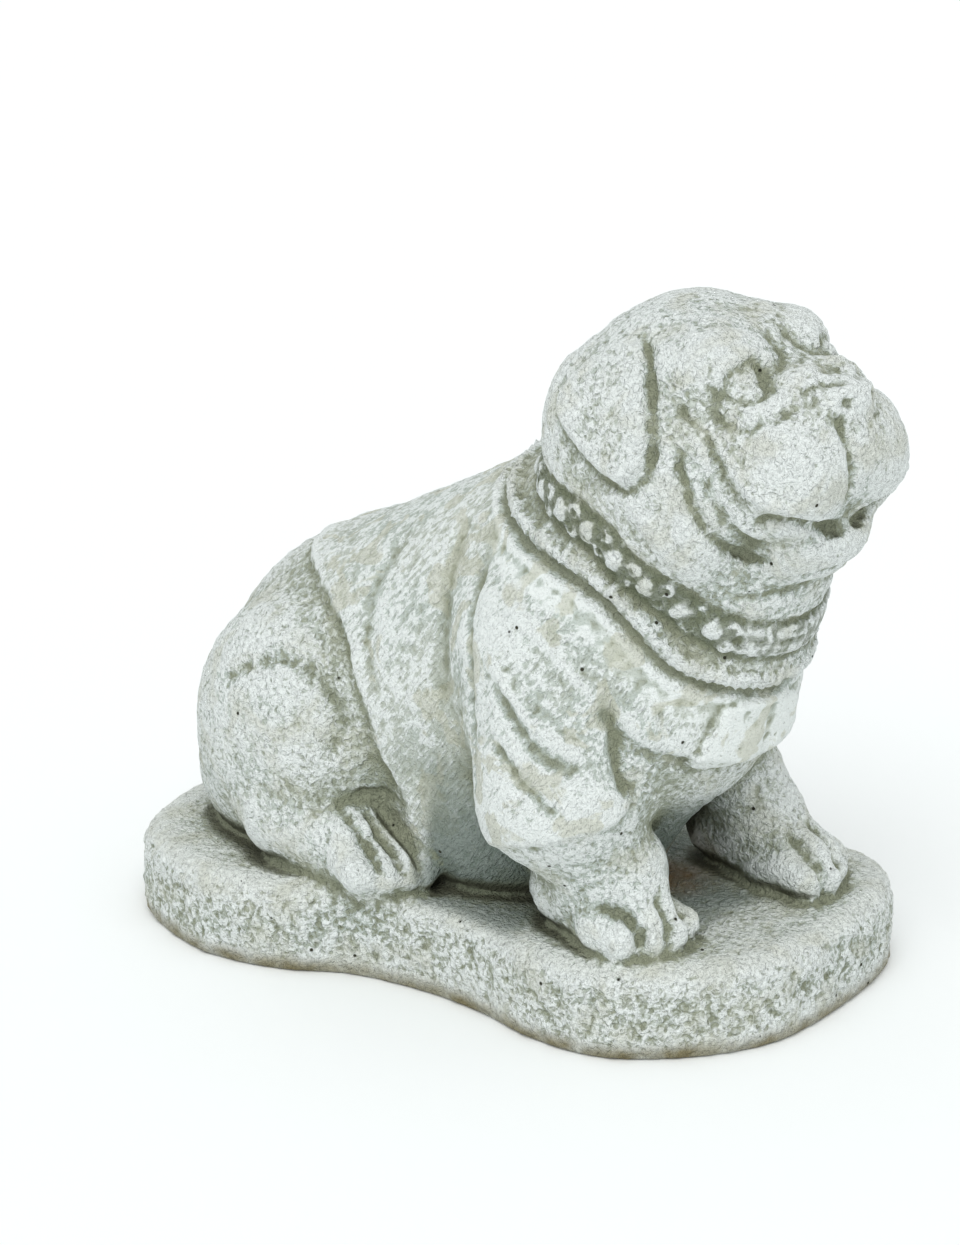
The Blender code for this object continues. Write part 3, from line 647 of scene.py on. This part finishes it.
# The finish: whitewashed cast concrete, sanded by rain
# Cement and fine sand give a matt, slightly green grey full of grain. Thin lime white was brushed over
# the high parts, bare beige mortar shows in flat worn patches, and dirt and air-bubble holes stay dark.
# Shade in creases, hollows and low on the belly is painted into the colour as well.
def linear(colour):
    """An sRGB hex colour as the linear values that a shader takes."""
    parts = [int(colour[at:at + 2], 16) / 255 for at in (0, 2, 4)]
    return (*[part / 12.92 if part < 0.04045 else ((part + 0.055) / 1.055) ** 2.4 for part in parts], 1.0)


def add_node(tree, kind, settings=None, inputs=None):
    """Adds a node, sets its properties and gives each input a value, another node's output or a list of
    them. Returns the node's first output in use."""
    node = tree.nodes.new(kind)
    for name, value in (settings or {}).items():
        setattr(node, name, value)
    for key, value in (inputs or {}).items():
        named = [item for item in node.inputs if item.enabled and item.name == key]
        socket = named[0] if named else node.inputs[key]
        if isinstance(value, (bpy.types.NodeSocket, list)):
            for source in value if isinstance(value, list) else [value]:
                tree.links.new(source, socket)
        else:
            socket.default_value = value
    return next((item for item in node.outputs if item.enabled), None)


# Grey body and the gaps in its stipple, lime, rubbed mortar, grime with painted shade, the painted shade
# low on the belly, and iron from the sand
CEMENT = linear("cad0c7")
COOL_CEMENT = linear("c3ccc5")
GAP = linear("a4aa99")
LIME_WHITE = linear("f1f6f4")
BARE_MORTAR = linear("c8c9b6")
GRIME_AND_SHADE_TONE = linear("868a71")
STRAP_GRIME_AND_SHADE = linear("70775f")
DEEP_SHADE_AND_PITS = linear("403f31")
BELLY_SHADE_TONE = linear("66736a")
RUST = linear("96713f")

# Each pattern's lump size in millimetres, its detail and how far it is swirled
PATTERNS = {
    "sand": (1.0, 2.0, 0.0),
    "stipple": (1.9, 2.0, 0.6),
    "clumps": (12.0, 2.0, 0.4),
    "patches": (16.0, 3.0, 0.5),
    "clouds": (42.0, 2.0, 0.0),
}
WIPE_WIDTH = 1.3
WIPE_STRETCH = 4.5
WIPE_LEAN = math.radians(35)
HOLE_SPACING = 8.0
HOLE_RADIUS = 0.75

concrete = bpy.data.materials.new("whitewashed cast concrete")
concrete.use_nodes = True
tree = concrete.node_tree
tree.nodes.clear()
smooth = {"interpolation_type": "SMOOTHSTEP"}
colour_mix = {"data_type": "RGBA"}
times, plus_scaled, minus, over, most = ({"operation": kind} for kind in (
    "MULTIPLY", "MULTIPLY_ADD", "SUBTRACT", "DIVIDE", "MAXIMUM"))
place = add_node(tree, "ShaderNodeTexCoord").node.outputs["Object"]
known = {}
for name in ("proud_fine", "proud_middle", "proud_broad", "open_air", "damp", "pupil", "shirt", "smooth",
             "strap", "slab_side", "slab_top", "slab_foot", "rust"):
    known[name] = add_node(tree, "ShaderNodeAttribute", {"attribute_name": name}).node.outputs["Fac"]
pattern = {}
for name, (size, detail, swirl) in PATTERNS.items():
    pattern[name] = add_node(tree, "ShaderNodeTexNoise", None, {
        "Vector": place, "Scale": 1000 / size, "Detail": detail, "Roughness": 0.55, "Distortion": swirl})
wiping = add_node(tree, "ShaderNodeMapping", {"vector_type": "TEXTURE"}, {
    "Vector": place, "Rotation": (WIPE_LEAN, 0, 0), "Scale": (1, 1, WIPE_STRETCH)})
wipes = add_node(tree, "ShaderNodeTexNoise", None, {
    "Vector": wiping, "Scale": 1000 / WIPE_WIDTH, "Detail": 2.0, "Distortion": 0.3})

# The skin's own small relief: swirled stipple on the coat and the slab, leaning wipes on the shirt. Lime
# white is left on what stands out, in the stipple and in the cast shape alike, and grey in the gaps.
wiped = add_node(tree, "ShaderNodeMath", times, {0: known["shirt"], 1: 0.65})
grain = add_node(tree, "ShaderNodeMix", None, {"Factor": wiped, "A": pattern["stipple"], "B": wipes})
grain = add_node(tree, "ShaderNodeMix", None, {"Factor": known["smooth"], "A": grain, "B": 0.57})
HIGH_SHARES = ((known["proud_fine"], 0.30), (known["proud_middle"], 0.20), (known["proud_broad"], 0.40),
               (pattern["clumps"], 0.25))
HIGH_MIDDLE = 0.5 + 0.5 * sum(share for _, share in HIGH_SHARES)
high = add_node(tree, "ShaderNodeMath", plus_scaled, {0: known["slab_top"], 1: 0.09, 2: grain})
for value, share in HIGH_SHARES:
    high = add_node(tree, "ShaderNodeMath", plus_scaled, {0: value, 1: share, 2: high})
white = add_node(tree, "ShaderNodeMapRange", smooth, {
    "Value": high, "From Min": HIGH_MIDDLE + 0.01, "From Max": HIGH_MIDDLE + 0.13, "To Max": 0.9})
gap_strength = add_node(tree, "ShaderNodeMapRange", None, {
    "Value": known["shirt"], "To Min": 0.95, "To Max": 0.5})
gaps = add_node(tree, "ShaderNodeMapRange", smooth, {
    "Value": high, "From Min": HIGH_MIDDLE - 0.02, "From Max": HIGH_MIDDLE - 0.13, "To Max": gap_strength})

# Flat worn patches, where the white and the grain are gone: crisp on the shirt, soft elsewhere
crisp = add_node(tree, "ShaderNodeMapRange", smooth, {
    "Value": pattern["patches"], "From Min": 0.545, "From Max": 0.60, "To Max": 0.6})
faint = add_node(tree, "ShaderNodeMapRange", smooth, {
    "Value": pattern["patches"], "From Min": 0.46, "From Max": 0.68, "To Max": 0.45})
worn = add_node(tree, "ShaderNodeMix", None, {"Factor": known["shirt"], "A": faint, "B": crisp})

# Grime and painted shade: creases and the strap between the studs are darker, part grime and part painted
# shade; hollows and overhangs get painted shade; grime lies round the slab's foot and in sandy specks. Each
# row has the value that brings it, where it is clean, where it is darkest, and how much it covers there.
strap_gaps = add_node(tree, "ShaderNodeMapRange", smooth, {
    "Value": known["proud_fine"], "From Min": 0.80, "From Max": 0.52, "To Max": 0.8})
strap_gaps = add_node(tree, "ShaderNodeMath", times, {0: strap_gaps, 1: known["strap"]})
grime_and_shade = add_node(tree, "ShaderNodeMath", times, {0: known["slab_foot"], 1: pattern["clumps"]})
side_gaps = add_node(tree, "ShaderNodeMapRange", smooth, {
    "Value": known["slab_side"], "To Max": 0.16})
side_gaps = add_node(tree, "ShaderNodeMath", minus, {0: grain, 1: side_gaps})
# The first two rows paint creases darker, part grime and part painted shade. The open_air row paints shade
# into hollows and under overhangs.
for value, clean, dirty, share in ((known["proud_middle"], 0.39, 0.12, 0.72),
                                   (known["proud_fine"], 0.38, 0.14, 0.65),
                                   (known["open_air"], 0.38, 0.06, 0.8),
                                   (side_gaps, 0.36, 0.24, 0.35),
                                   (pattern["sand"], 0.38, 0.28, 0.4)):
    found = add_node(tree, "ShaderNodeMapRange", smooth, {
        "Value": value, "From Min": clean, "From Max": dirty, "To Max": share})
    grime_and_shade = add_node(tree, "ShaderNodeMath", most, {0: grime_and_shade, 1: found})

# Air-bubble holes 1.5 mm across, one in six cells of the pattern and more on the slab's side
cells = add_node(tree, "ShaderNodeTexVoronoi", None, {"Vector": place, "Scale": 1000 / HOLE_SPACING})
holes = add_node(tree, "ShaderNodeMapRange", smooth, {
    "Value": cells, "From Min": HOLE_RADIUS / HOLE_SPACING, "From Max": 0.6 * HOLE_RADIUS / HOLE_SPACING})
chance = add_node(tree, "ShaderNodeSeparateColor", None, {"Color": cells.node.outputs["Color"]})
often = add_node(tree, "ShaderNodeMapRange", None, {
    "Value": known["slab_side"], "To Min": 0.84, "To Max": 0.55})
picked = add_node(tree, "ShaderNodeMath", {"operation": "GREATER_THAN"}, {0: chance, 1: often})
holes = add_node(tree, "ShaderNodeMath", times, {0: holes, 1: picked})
# Painted shade: the most closed-in hollows are painted nearly black, and the holes and the pupil are
# painted dark with the same tone.
deepest_shade = add_node(tree, "ShaderNodeMapRange", smooth, {
    "Value": known["open_air"], "From Min": 0.30, "From Max": 0.04, "To Max": 0.7})
deep = add_node(tree, "ShaderNodeMath", most, {0: deepest_shade, 1: holes})
deep = add_node(tree, "ShaderNodeMath", most, {0: deep, 1: known["pupil"]})

clouded = add_node(tree, "ShaderNodeMapRange", smooth, {
    "Value": pattern["clouds"], "From Min": 0.38, "From Max": 0.62})
colour = add_node(tree, "ShaderNodeMix", colour_mix, {"Factor": clouded, "A": CEMENT, "B": COOL_CEMENT})
on_top = add_node(tree, "ShaderNodeMath", times, {0: known["slab_top"], 1: 0.2})
stained = add_node(tree, "ShaderNodeMath", plus_scaled, {0: known["slab_foot"], 1: 0.3, 2: known["rust"]})
stained = add_node(tree, "ShaderNodeMath", times, {0: stained, 1: pattern["clumps"]})
# Coats laid over the cement, some of them painted shade: the belly's shade, grime and shade in creases and
# hollows, the strap's darker gaps, and the deepest painted shade.
for share, coat in ((gaps, GAP), (white, LIME_WHITE), (worn, BARE_MORTAR), (on_top, BARE_MORTAR),
                    (known["damp"], BELLY_SHADE_TONE), (grime_and_shade, GRIME_AND_SHADE_TONE), (strap_gaps, STRAP_GRIME_AND_SHADE), (stained, RUST),
                    (deep, DEEP_SHADE_AND_PITS)):
    colour = add_node(tree, "ShaderNodeMix", colour_mix, {"Factor": share, "A": colour, "B": coat})

relief = add_node(tree, "ShaderNodeMath", plus_scaled, {0: grain, 1: 2.5, 2: pattern["sand"]})
relief = add_node(tree, "ShaderNodeMath", minus, {0: relief, 1: holes})
bumps = add_node(tree, "ShaderNodeBump", None, {"Strength": 1.0, "Distance": 0.0012, "Height": relief})
stone = add_node(tree, "ShaderNodeBsdfPrincipled", None, {
    "Base Color": colour, "Roughness": 0.93, "Specular IOR Level": 0.25, "Normal": bumps})
add_node(tree, "ShaderNodeOutputMaterial", None, {"Surface": stone})


# The collar's studs and the neckband's ribs
# On the clay pattern they were pressed on one by one: round-headed studs along the middle of the strap,
# pairs of small eyelets between them, and short ribs across the rolled neckband. All are cast in one.
STUD_PITCH = 12.5
STUD_RADIUS = 4.4
EYELET_RADIUS = 2.0
EYELET_WIRE = 0.95
EYELETS_APART = 6.6
RIB_PITCH = 3.4
RIB_RADIUS = 0.85
FINISHED_VOXEL = 1.15


def on_surface_line(name, corners, back_end, front_end):
    """A line round the neck on the carved surface, ending short of the middle behind and in front."""
    half = laid_on(corners)
    reach = np.concatenate([[0], np.cumsum(np.linalg.norm(np.diff(half, axis=0), axis=1))])
    half = half[(reach >= back_end) & (reach <= reach[-1] - front_end)]
    data = bpy.data.curves.new(name, "CURVE")
    data.dimensions = "3D"
    for side in (1, -1):
        spots = settled(half * (side, 1, 1))
        spline = data.splines.new("POLY")
        spline.points.add(len(spots) - 1)
        spline.points.foreach_set("co", np.column_stack([spots, np.ones(len(spots))]).ravel())
    return linked(name, data)


def new_tree(name, values):
    """A node group that takes and gives geometry, with a named input for each value."""
    tree = bpy.data.node_groups.new(name, "GeometryNodeTree")
    for in_out in ("OUTPUT", "INPUT"):
        tree.interface.new_socket("Geometry", in_out=in_out, socket_type="NodeSocketGeometry")
    for label, value in values.items():
        kind = "Float" if isinstance(value, float) else type(value).__name__
        tree.interface.new_socket(label, in_out="INPUT", socket_type="NodeSocket" + kind)
    return tree


def finished(tree, geometry, finish):
    """Ends a tree: instances made real and the finish put on."""
    real = add_node(tree, "GeometryNodeRealizeInstances", None, {"Geometry": geometry})
    coated = add_node(tree, "GeometryNodeSetMaterial", None, {"Geometry": real, "Material": finish})
    add_node(tree, "NodeGroupOutput", None, {"Geometry": coated})
    return tree


def use_tree(piece, tree, values):
    """Puts a tree on a piece, each of its inputs set by the socket's identifier."""
    modifier = piece.modifiers.new(tree.name, "NODES")
    modifier.node_group = tree
    for item in tree.interface.items_tree:
        if item.in_out == "INPUT" and item.name in values:
            modifier[item.identifier] = values[item.name]


def pressed_on_tree(values):
    tree = new_tree("studs and ribs", values)
    given = tree.nodes.new("NodeGroupInput").outputs
    outward = add_node(tree, "GeometryNodeSampleNearestSurface", {"data_type": "FLOAT_VECTOR"}, {
        "Mesh": given["Geometry"], "Value": add_node(tree, "GeometryNodeInputNormal"),
        "Sample Position": add_node(tree, "GeometryNodeInputPosition")})
    spots, turns = {}, {}
    for line, pitch in (("Strap Line", "Stud Pitch"), ("Neckband Line", "Rib Pitch")):
        shape = add_node(tree, "GeometryNodeObjectInfo", None, {"Object": given[line]}).node
        points = add_node(tree, "GeometryNodeCurveToPoints", {"mode": "LENGTH"}, {
            "Curve": shape.outputs["Geometry"], "Length": given[pitch]})
        upright = add_node(tree, "FunctionNodeAlignRotationToVector", {"axis": "Z"}, {"Vector": outward})
        round_it = {"axis": "X", "pivot_axis": "Z"}
        turns[line] = add_node(tree, "FunctionNodeAlignRotationToVector", round_it, {
            "Rotation": upright, "Vector": points.node.outputs["Tangent"]})
        spots[line] = points

    dome = add_node(tree, "GeometryNodeMeshIcoSphere", None, {
        "Radius": given["Stud Radius"], "Subdivisions": 3})
    ring = add_node(tree, "GeometryNodeCurvePrimitiveCircle", None, {
        "Radius": given["Eyelet Radius"], "Resolution": 16})
    wire = add_node(tree, "GeometryNodeCurvePrimitiveCircle", None, {
        "Radius": given["Eyelet Wire"], "Resolution": 8})
    eyelet = add_node(tree, "GeometryNodeCurveToMesh", None, {"Curve": ring, "Profile Curve": wire})
    rib = add_node(tree, "GeometryNodeMeshIcoSphere", None, {
        "Radius": given["Rib Radius"], "Subdivisions": 2})
    pieces = [given["Geometry"]]
    for line, shape, aside, stretch in (
            ("Strap Line", dome, (0, 0, 0), (1, 1, 0.62)),
            ("Strap Line", eyelet, (STUD_PITCH / 2, EYELETS_APART / 2, 0.3), (1, 1, 1)),
            ("Strap Line", eyelet, (STUD_PITCH / 2, -EYELETS_APART / 2, 0.3), (1, 1, 1)),
            ("Neckband Line", rib, (0, 0, 0), (1, 4.2, 1))):
        placed = add_node(tree, "GeometryNodeTransform", None, {
            "Geometry": shape, "Translation": aside, "Scale": stretch})
        pieces.append(add_node(tree, "GeometryNodeInstanceOnPoints", None, {
            "Points": spots[line], "Instance": placed, "Rotation": turns[line]}))
    joined = add_node(tree, "GeometryNodeJoinGeometry", None, {"Geometry": pieces})
    return finished(tree, joined, given["Finish"])


NECKBAND_ROLL = np.array(NECK_SEAM) + (0, -1.5, 4.6)
strap_line = on_surface_line("strap line", COLLAR, back_end=6, front_end=33)
neckband_line = on_surface_line("neckband line", NECKBAND_ROLL, back_end=4, front_end=2)
pressed_on = {
    "Strap Line": strap_line, "Neckband Line": neckband_line, "Stud Pitch": STUD_PITCH,
    "Stud Radius": STUD_RADIUS, "Eyelet Radius": EYELET_RADIUS, "Eyelet Wire": EYELET_WIRE,
    "Rib Pitch": RIB_PITCH, "Rib Radius": RIB_RADIUS, "Finish": concrete}
use_tree(casting, pressed_on_tree(pressed_on), pressed_on)
cast_in_one = casting.modifiers.new("cast in one", "REMESH")
cast_in_one.mode = "VOXEL"
cast_in_one.voxel_size = FINISHED_VOXEL
carried_out(casting)
for line in (strap_line, neckband_line):
    bpy.data.curves.remove(line.data)


# The cast skin
# The mould took a stippled clay surface: low lumps all over, sharper and deeper ones round the slab's
# side. The wet mix settled a little, so most of the skin lies just inside the plain shape.
def cast_skin_tree(values):
    tree = new_tree("cast skin", values)
    given = tree.nodes.new("NodeGroupInput").outputs
    place = add_node(tree, "GeometryNodeInputPosition")
    up = add_node(tree, "ShaderNodeSeparateXYZ", None, {"Vector": place}).node.outputs["Z"]
    on_side = add_node(tree, "ShaderNodeMapRange", smooth, {
        "Value": up, "From Min": 2.0, "From Max": -5.0})
    off_foot = add_node(tree, "ShaderNodeMapRange", smooth, {
        "Value": up, "From Min": 0.3 - THICK, "From Max": 2.5 - THICK})
    push = 0.0
    for lumps, detail, share in (("Slump", 2.0, 1.0), ("Stipple", 3.0, 1.0), ("Slab", 4.0, on_side)):
        scale = add_node(tree, "ShaderNodeMath", over, {0: 1.0, 1: given[lumps + " Size"]})
        noise = add_node(tree, "ShaderNodeTexNoise", None, {
            "Vector": place, "Scale": scale, "Detail": detail, "Roughness": 0.6})
        above = add_node(tree, "ShaderNodeMath", minus, {0: noise, 1: given["Middle"]})
        height = add_node(tree, "ShaderNodeMath", times, {0: given[lumps + " Height"], 1: share})
        push = add_node(tree, "ShaderNodeMath", plus_scaled, {0: above, 1: height, 2: push})
    push = add_node(tree, "ShaderNodeMath", times, {0: push, 1: off_foot})
    offset = add_node(tree, "ShaderNodeVectorMath", {"operation": "SCALE"}, {
        0: add_node(tree, "GeometryNodeInputNormal"), "Scale": push})
    moved = add_node(tree, "GeometryNodeSetPosition", None, {
        "Geometry": given["Geometry"], "Offset": offset})
    return finished(tree, moved, given["Finish"])


skin = {
    "Slump Height": 1.6, "Slump Size": 16.0, "Stipple Height": 1.3, "Stipple Size": 4.0,
    "Slab Height": 4.2, "Slab Size": 6.0, "Middle": 0.57, "Finish": concrete}
use_tree(casting, cast_skin_tree(skin), skin)
fewer_faces = casting.modifiers.new("fewer faces", "DECIMATE")
fewer_faces.ratio = 0.44
carried_out(casting)

# The underside is struck off level
level = bmesh.new()
level.from_mesh(casting.data)
sliced = bmesh.ops.bisect_plane(level, geom=level.verts[:] + level.edges[:] + level.faces[:], dist=1e-4,
                                plane_co=(0, 0, -SLAB_THICKNESS), plane_no=(0, 0, -1), clear_outer=True)
rim = [item for item in sliced["geom_cut"] if isinstance(item, bmesh.types.BMEdge)]
bmesh.ops.holes_fill(level, edges=rim, sides=0)
bmesh.ops.triangulate(level, faces=level.faces[:])
bmesh.ops.recalc_face_normals(level, faces=level.faces[:])
level.to_mesh(casting.data)
level.free()


# What the weather and the brush found, and where shade is painted
# Lime white lies on whatever stands out, and grime and painted shade in whatever lies deep, so each corner
# of the mesh keeps how proud it stands, how open the air above it is, and which part of the dog it belongs
# to. Painted shade darkens the belly low down and between the forelegs, with a rust stain on the slab
# beside it.
PROUD = {"proud_fine": (5, 0.5), "proud_middle": (40, 1.6), "proud_broad": (200, 4.5)}
AIR_HEIGHTS = (4, 10, 18, 30)
RUST_PLACE = (16, -42, 4)
RUST_REACH = (20, 20, 16)


def keep(name, values):
    layer = casting.data.attributes.new(name, "FLOAT", "POINT")
    layer.data.foreach_set("value", np.ascontiguousarray(values, dtype=np.float32))


def beyond(points, corners, toward):
    """How far each point lies past a line on the surface, minus on its near side."""
    spot, gap, _, _ = follow(points, smooth_path(corners, steps=3))
    return np.where((points - spot) @ np.array(toward, float) > 0, gap, -gap)


places = corners_of(casting.data)
outward = np.empty(len(places) * 3)
casting.data.vertex_normals.foreach_get("vector", outward)
outward = outward.reshape(-1, 3)
edges = edges_of(casting.data)
for name, (rounds, full) in PROUD.items():
    evened = places
    for _ in range(rounds):
        evened = (evened + neighbours_middle(evened, edges)) / 2
    proud = ((places - evened) * outward).sum(axis=1)
    keep(name, 0.5 + 0.5 * np.clip(proud / full, -1, 1))

# The share of open air over each corner, at a few heights above it: where it is low, shade is painted in
air = np.zeros(len(places))
for height in AIR_HEIGHTS:
    air += np.clip(base_distance(places + height * outward) / height, 0, 1) / len(AIR_HEIGHTS)
keep("open_air", air)

# Where the painted shade low on the belly, the rust and the pupil's dark are, and the slab's own parts
mirrored = right_side(places)
aside, along, up = mirrored.T
beside_belly = eased((68 + aside) / 14) * eased((along + 38) / 12) * eased((18 - along) / 10)
between_legs = eased((30 + aside) / 10) * eased((along + 84) / 12) * eased((10 - along) / 12)
low_down = eased((60 - up) / 36) * eased((up + 3) / 4)
keep("damp", 0.85 * np.maximum(beside_belly, between_legs) * low_down)
from_pupil = np.linalg.norm(head_place(mirrored) - PUPIL, axis=1)
keep("pupil", 0.75 * eased((3.2 - from_pupil) / 1.4))
from_rust = np.linalg.norm((places - RUST_PLACE) / RUST_REACH, axis=1)
keep("rust", 1.5 * eased(1.2 - from_rust))
keep("slab_side", eased((-2 - up) / 5))
keep("slab_top", eased((3 - up) / 4) * eased((up + 6) / 4))
keep("slab_foot", 1.5 * eased((-25 - up) / 6))

# The shirt lies within its hems and neck seam. The band under the seam and the patch are smooth.
below_seam = -beyond(mirrored, NECK_SEAM, (0, 0, 1))
shirt = np.minimum(beyond(mirrored, HEM_BEHIND, (0.1, -0.9, 0.3)), below_seam)
sleeve = np.where(along < -18, beyond(mirrored, HEM_SLEEVE, (-0.1, 0.2, 1)), 9.0)
between = (aside > -50) & (along < -40)
front = np.where(between, beyond(mirrored, HEM_FRONT, (0, -0.3, 1)), 9.0)
shirt = np.minimum(shirt, np.minimum(sleeve, front))
keep("shirt", eased(shirt / 2 + 0.5) * eased(up / 4 - 0.2))
band = eased((below_seam - 3) / 2) * eased((15 - below_seam) / 5)
from_patch = ring_distance(smooth_path(PATCH_OUTLINE, closed=True), places[:, [0, 2]])
on_patch = eased(-from_patch / 1.5) * (along < PATCH_FROM)
keep("smooth", 0.75 * np.maximum(band * (along < -10), on_patch))

# The strap is painted darker between the studs, part grime and part painted shade, a little less on its
# plate
_, from_strap, travelled, whole = follow(mirrored, smooth_path(COLLAR, steps=3))
beside_plate = 0.75 + 0.25 * eased((whole - travelled - PLATE_HALF_LENGTH) / 3)
keep("strap", eased((COLLAR_WIDTH / 2 + 1 - from_strap) / 2) * beside_plate)

metres = Matrix.Diagonal((0.001, 0.001, 0.001, 1))
casting.data.transform(Matrix.Translation((0, 0, SLAB_THICKNESS / 1000)) @ metres)
casting.data.shade_smooth()
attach(casting, "root")
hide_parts("cast_bulldog")


# The studio floor
# A broad sheet of white card under the statue, lit so evenly that it shows hardly any shadow.
card = bpy.data.materials.new("white backdrop card")
card.use_nodes = True
card_shader = card.node_tree.nodes["Principled BSDF"]
card_shader.inputs["Base Color"].default_value = linear("fcfefe")
card_shader.inputs["Roughness"].default_value = 1.0
card_shader.inputs["Specular IOR Level"].default_value = 0.0
sheet = bmesh.new()
bmesh.ops.create_grid(sheet, x_segments=1, y_segments=1, size=6.0)
floor_mesh = bpy.data.meshes.new("studio floor")
sheet.to_mesh(floor_mesh)
sheet.free()
floor = linked("studio_floor", floor_mesh)
floor.data.materials.append(card)

# The light is a bright even sky with one large soft source high in front on the left
sky = bpy.data.worlds.new("even sky")
sky.use_nodes = True
sky.node_tree.nodes["Background"].inputs["Color"].default_value = linear("fbfefe")
sky.node_tree.nodes["Background"].inputs["Strength"].default_value = 0.74
bpy.context.scene.world = sky
bpy.context.scene.view_settings.view_transform = "Standard"
lamp = bpy.data.lights.new("high soft light", "SUN")
lamp.angle = math.radians(40)
lamp.energy = 1.25
lamp_stand = linked("high soft light", lamp)
LAMP_SIDE = Vector((-1.1, -0.7, 1.7))
lamp_stand.rotation_euler = LAMP_SIDE.to_track_quat("Z", "Y").to_euler()

# The camera stands where the photograph was taken from, a little above the dog and off its right front
AZIMUTH = math.radians(-50)
HEIGHT_ANGLE = math.radians(20)
AWAY = 1.25
AIM_POINT = Vector((-0.011, 0, 0.11))
# The photo's frame, where the aimed point lies in it, and the lens's length, all in its pixels
FRAME_WIDTH, FRAME_HEIGHT = 960, 1245
AIM_ACROSS, AIM_DOWN = 527, 667
FOCAL_PIXELS = 3562.5
back = Vector((math.sin(AZIMUTH) * math.cos(HEIGHT_ANGLE), -math.cos(AZIMUTH) * math.cos(HEIGHT_ANGLE),
               math.sin(HEIGHT_ANGLE)))
rightward = Vector((math.cos(AZIMUTH), math.sin(AZIMUTH), 0))
upward = back.cross(rightward)
aim = (-back * FOCAL_PIXELS + rightward * (FRAME_WIDTH / 2 - AIM_ACROSS)
       + upward * (AIM_DOWN - FRAME_HEIGHT / 2)).normalized()
view = bpy.data.cameras.new("photo view")
view.sensor_fit = "VERTICAL"
view.sensor_height = 36
view.lens = FOCAL_PIXELS / FRAME_HEIGHT * view.sensor_height
camera = linked("photo view", view)
camera.location = AIM_POINT + back * AWAY
camera.rotation_euler = aim.to_track_quat("-Z", "Y").to_euler()
bpy.context.scene.camera = camera
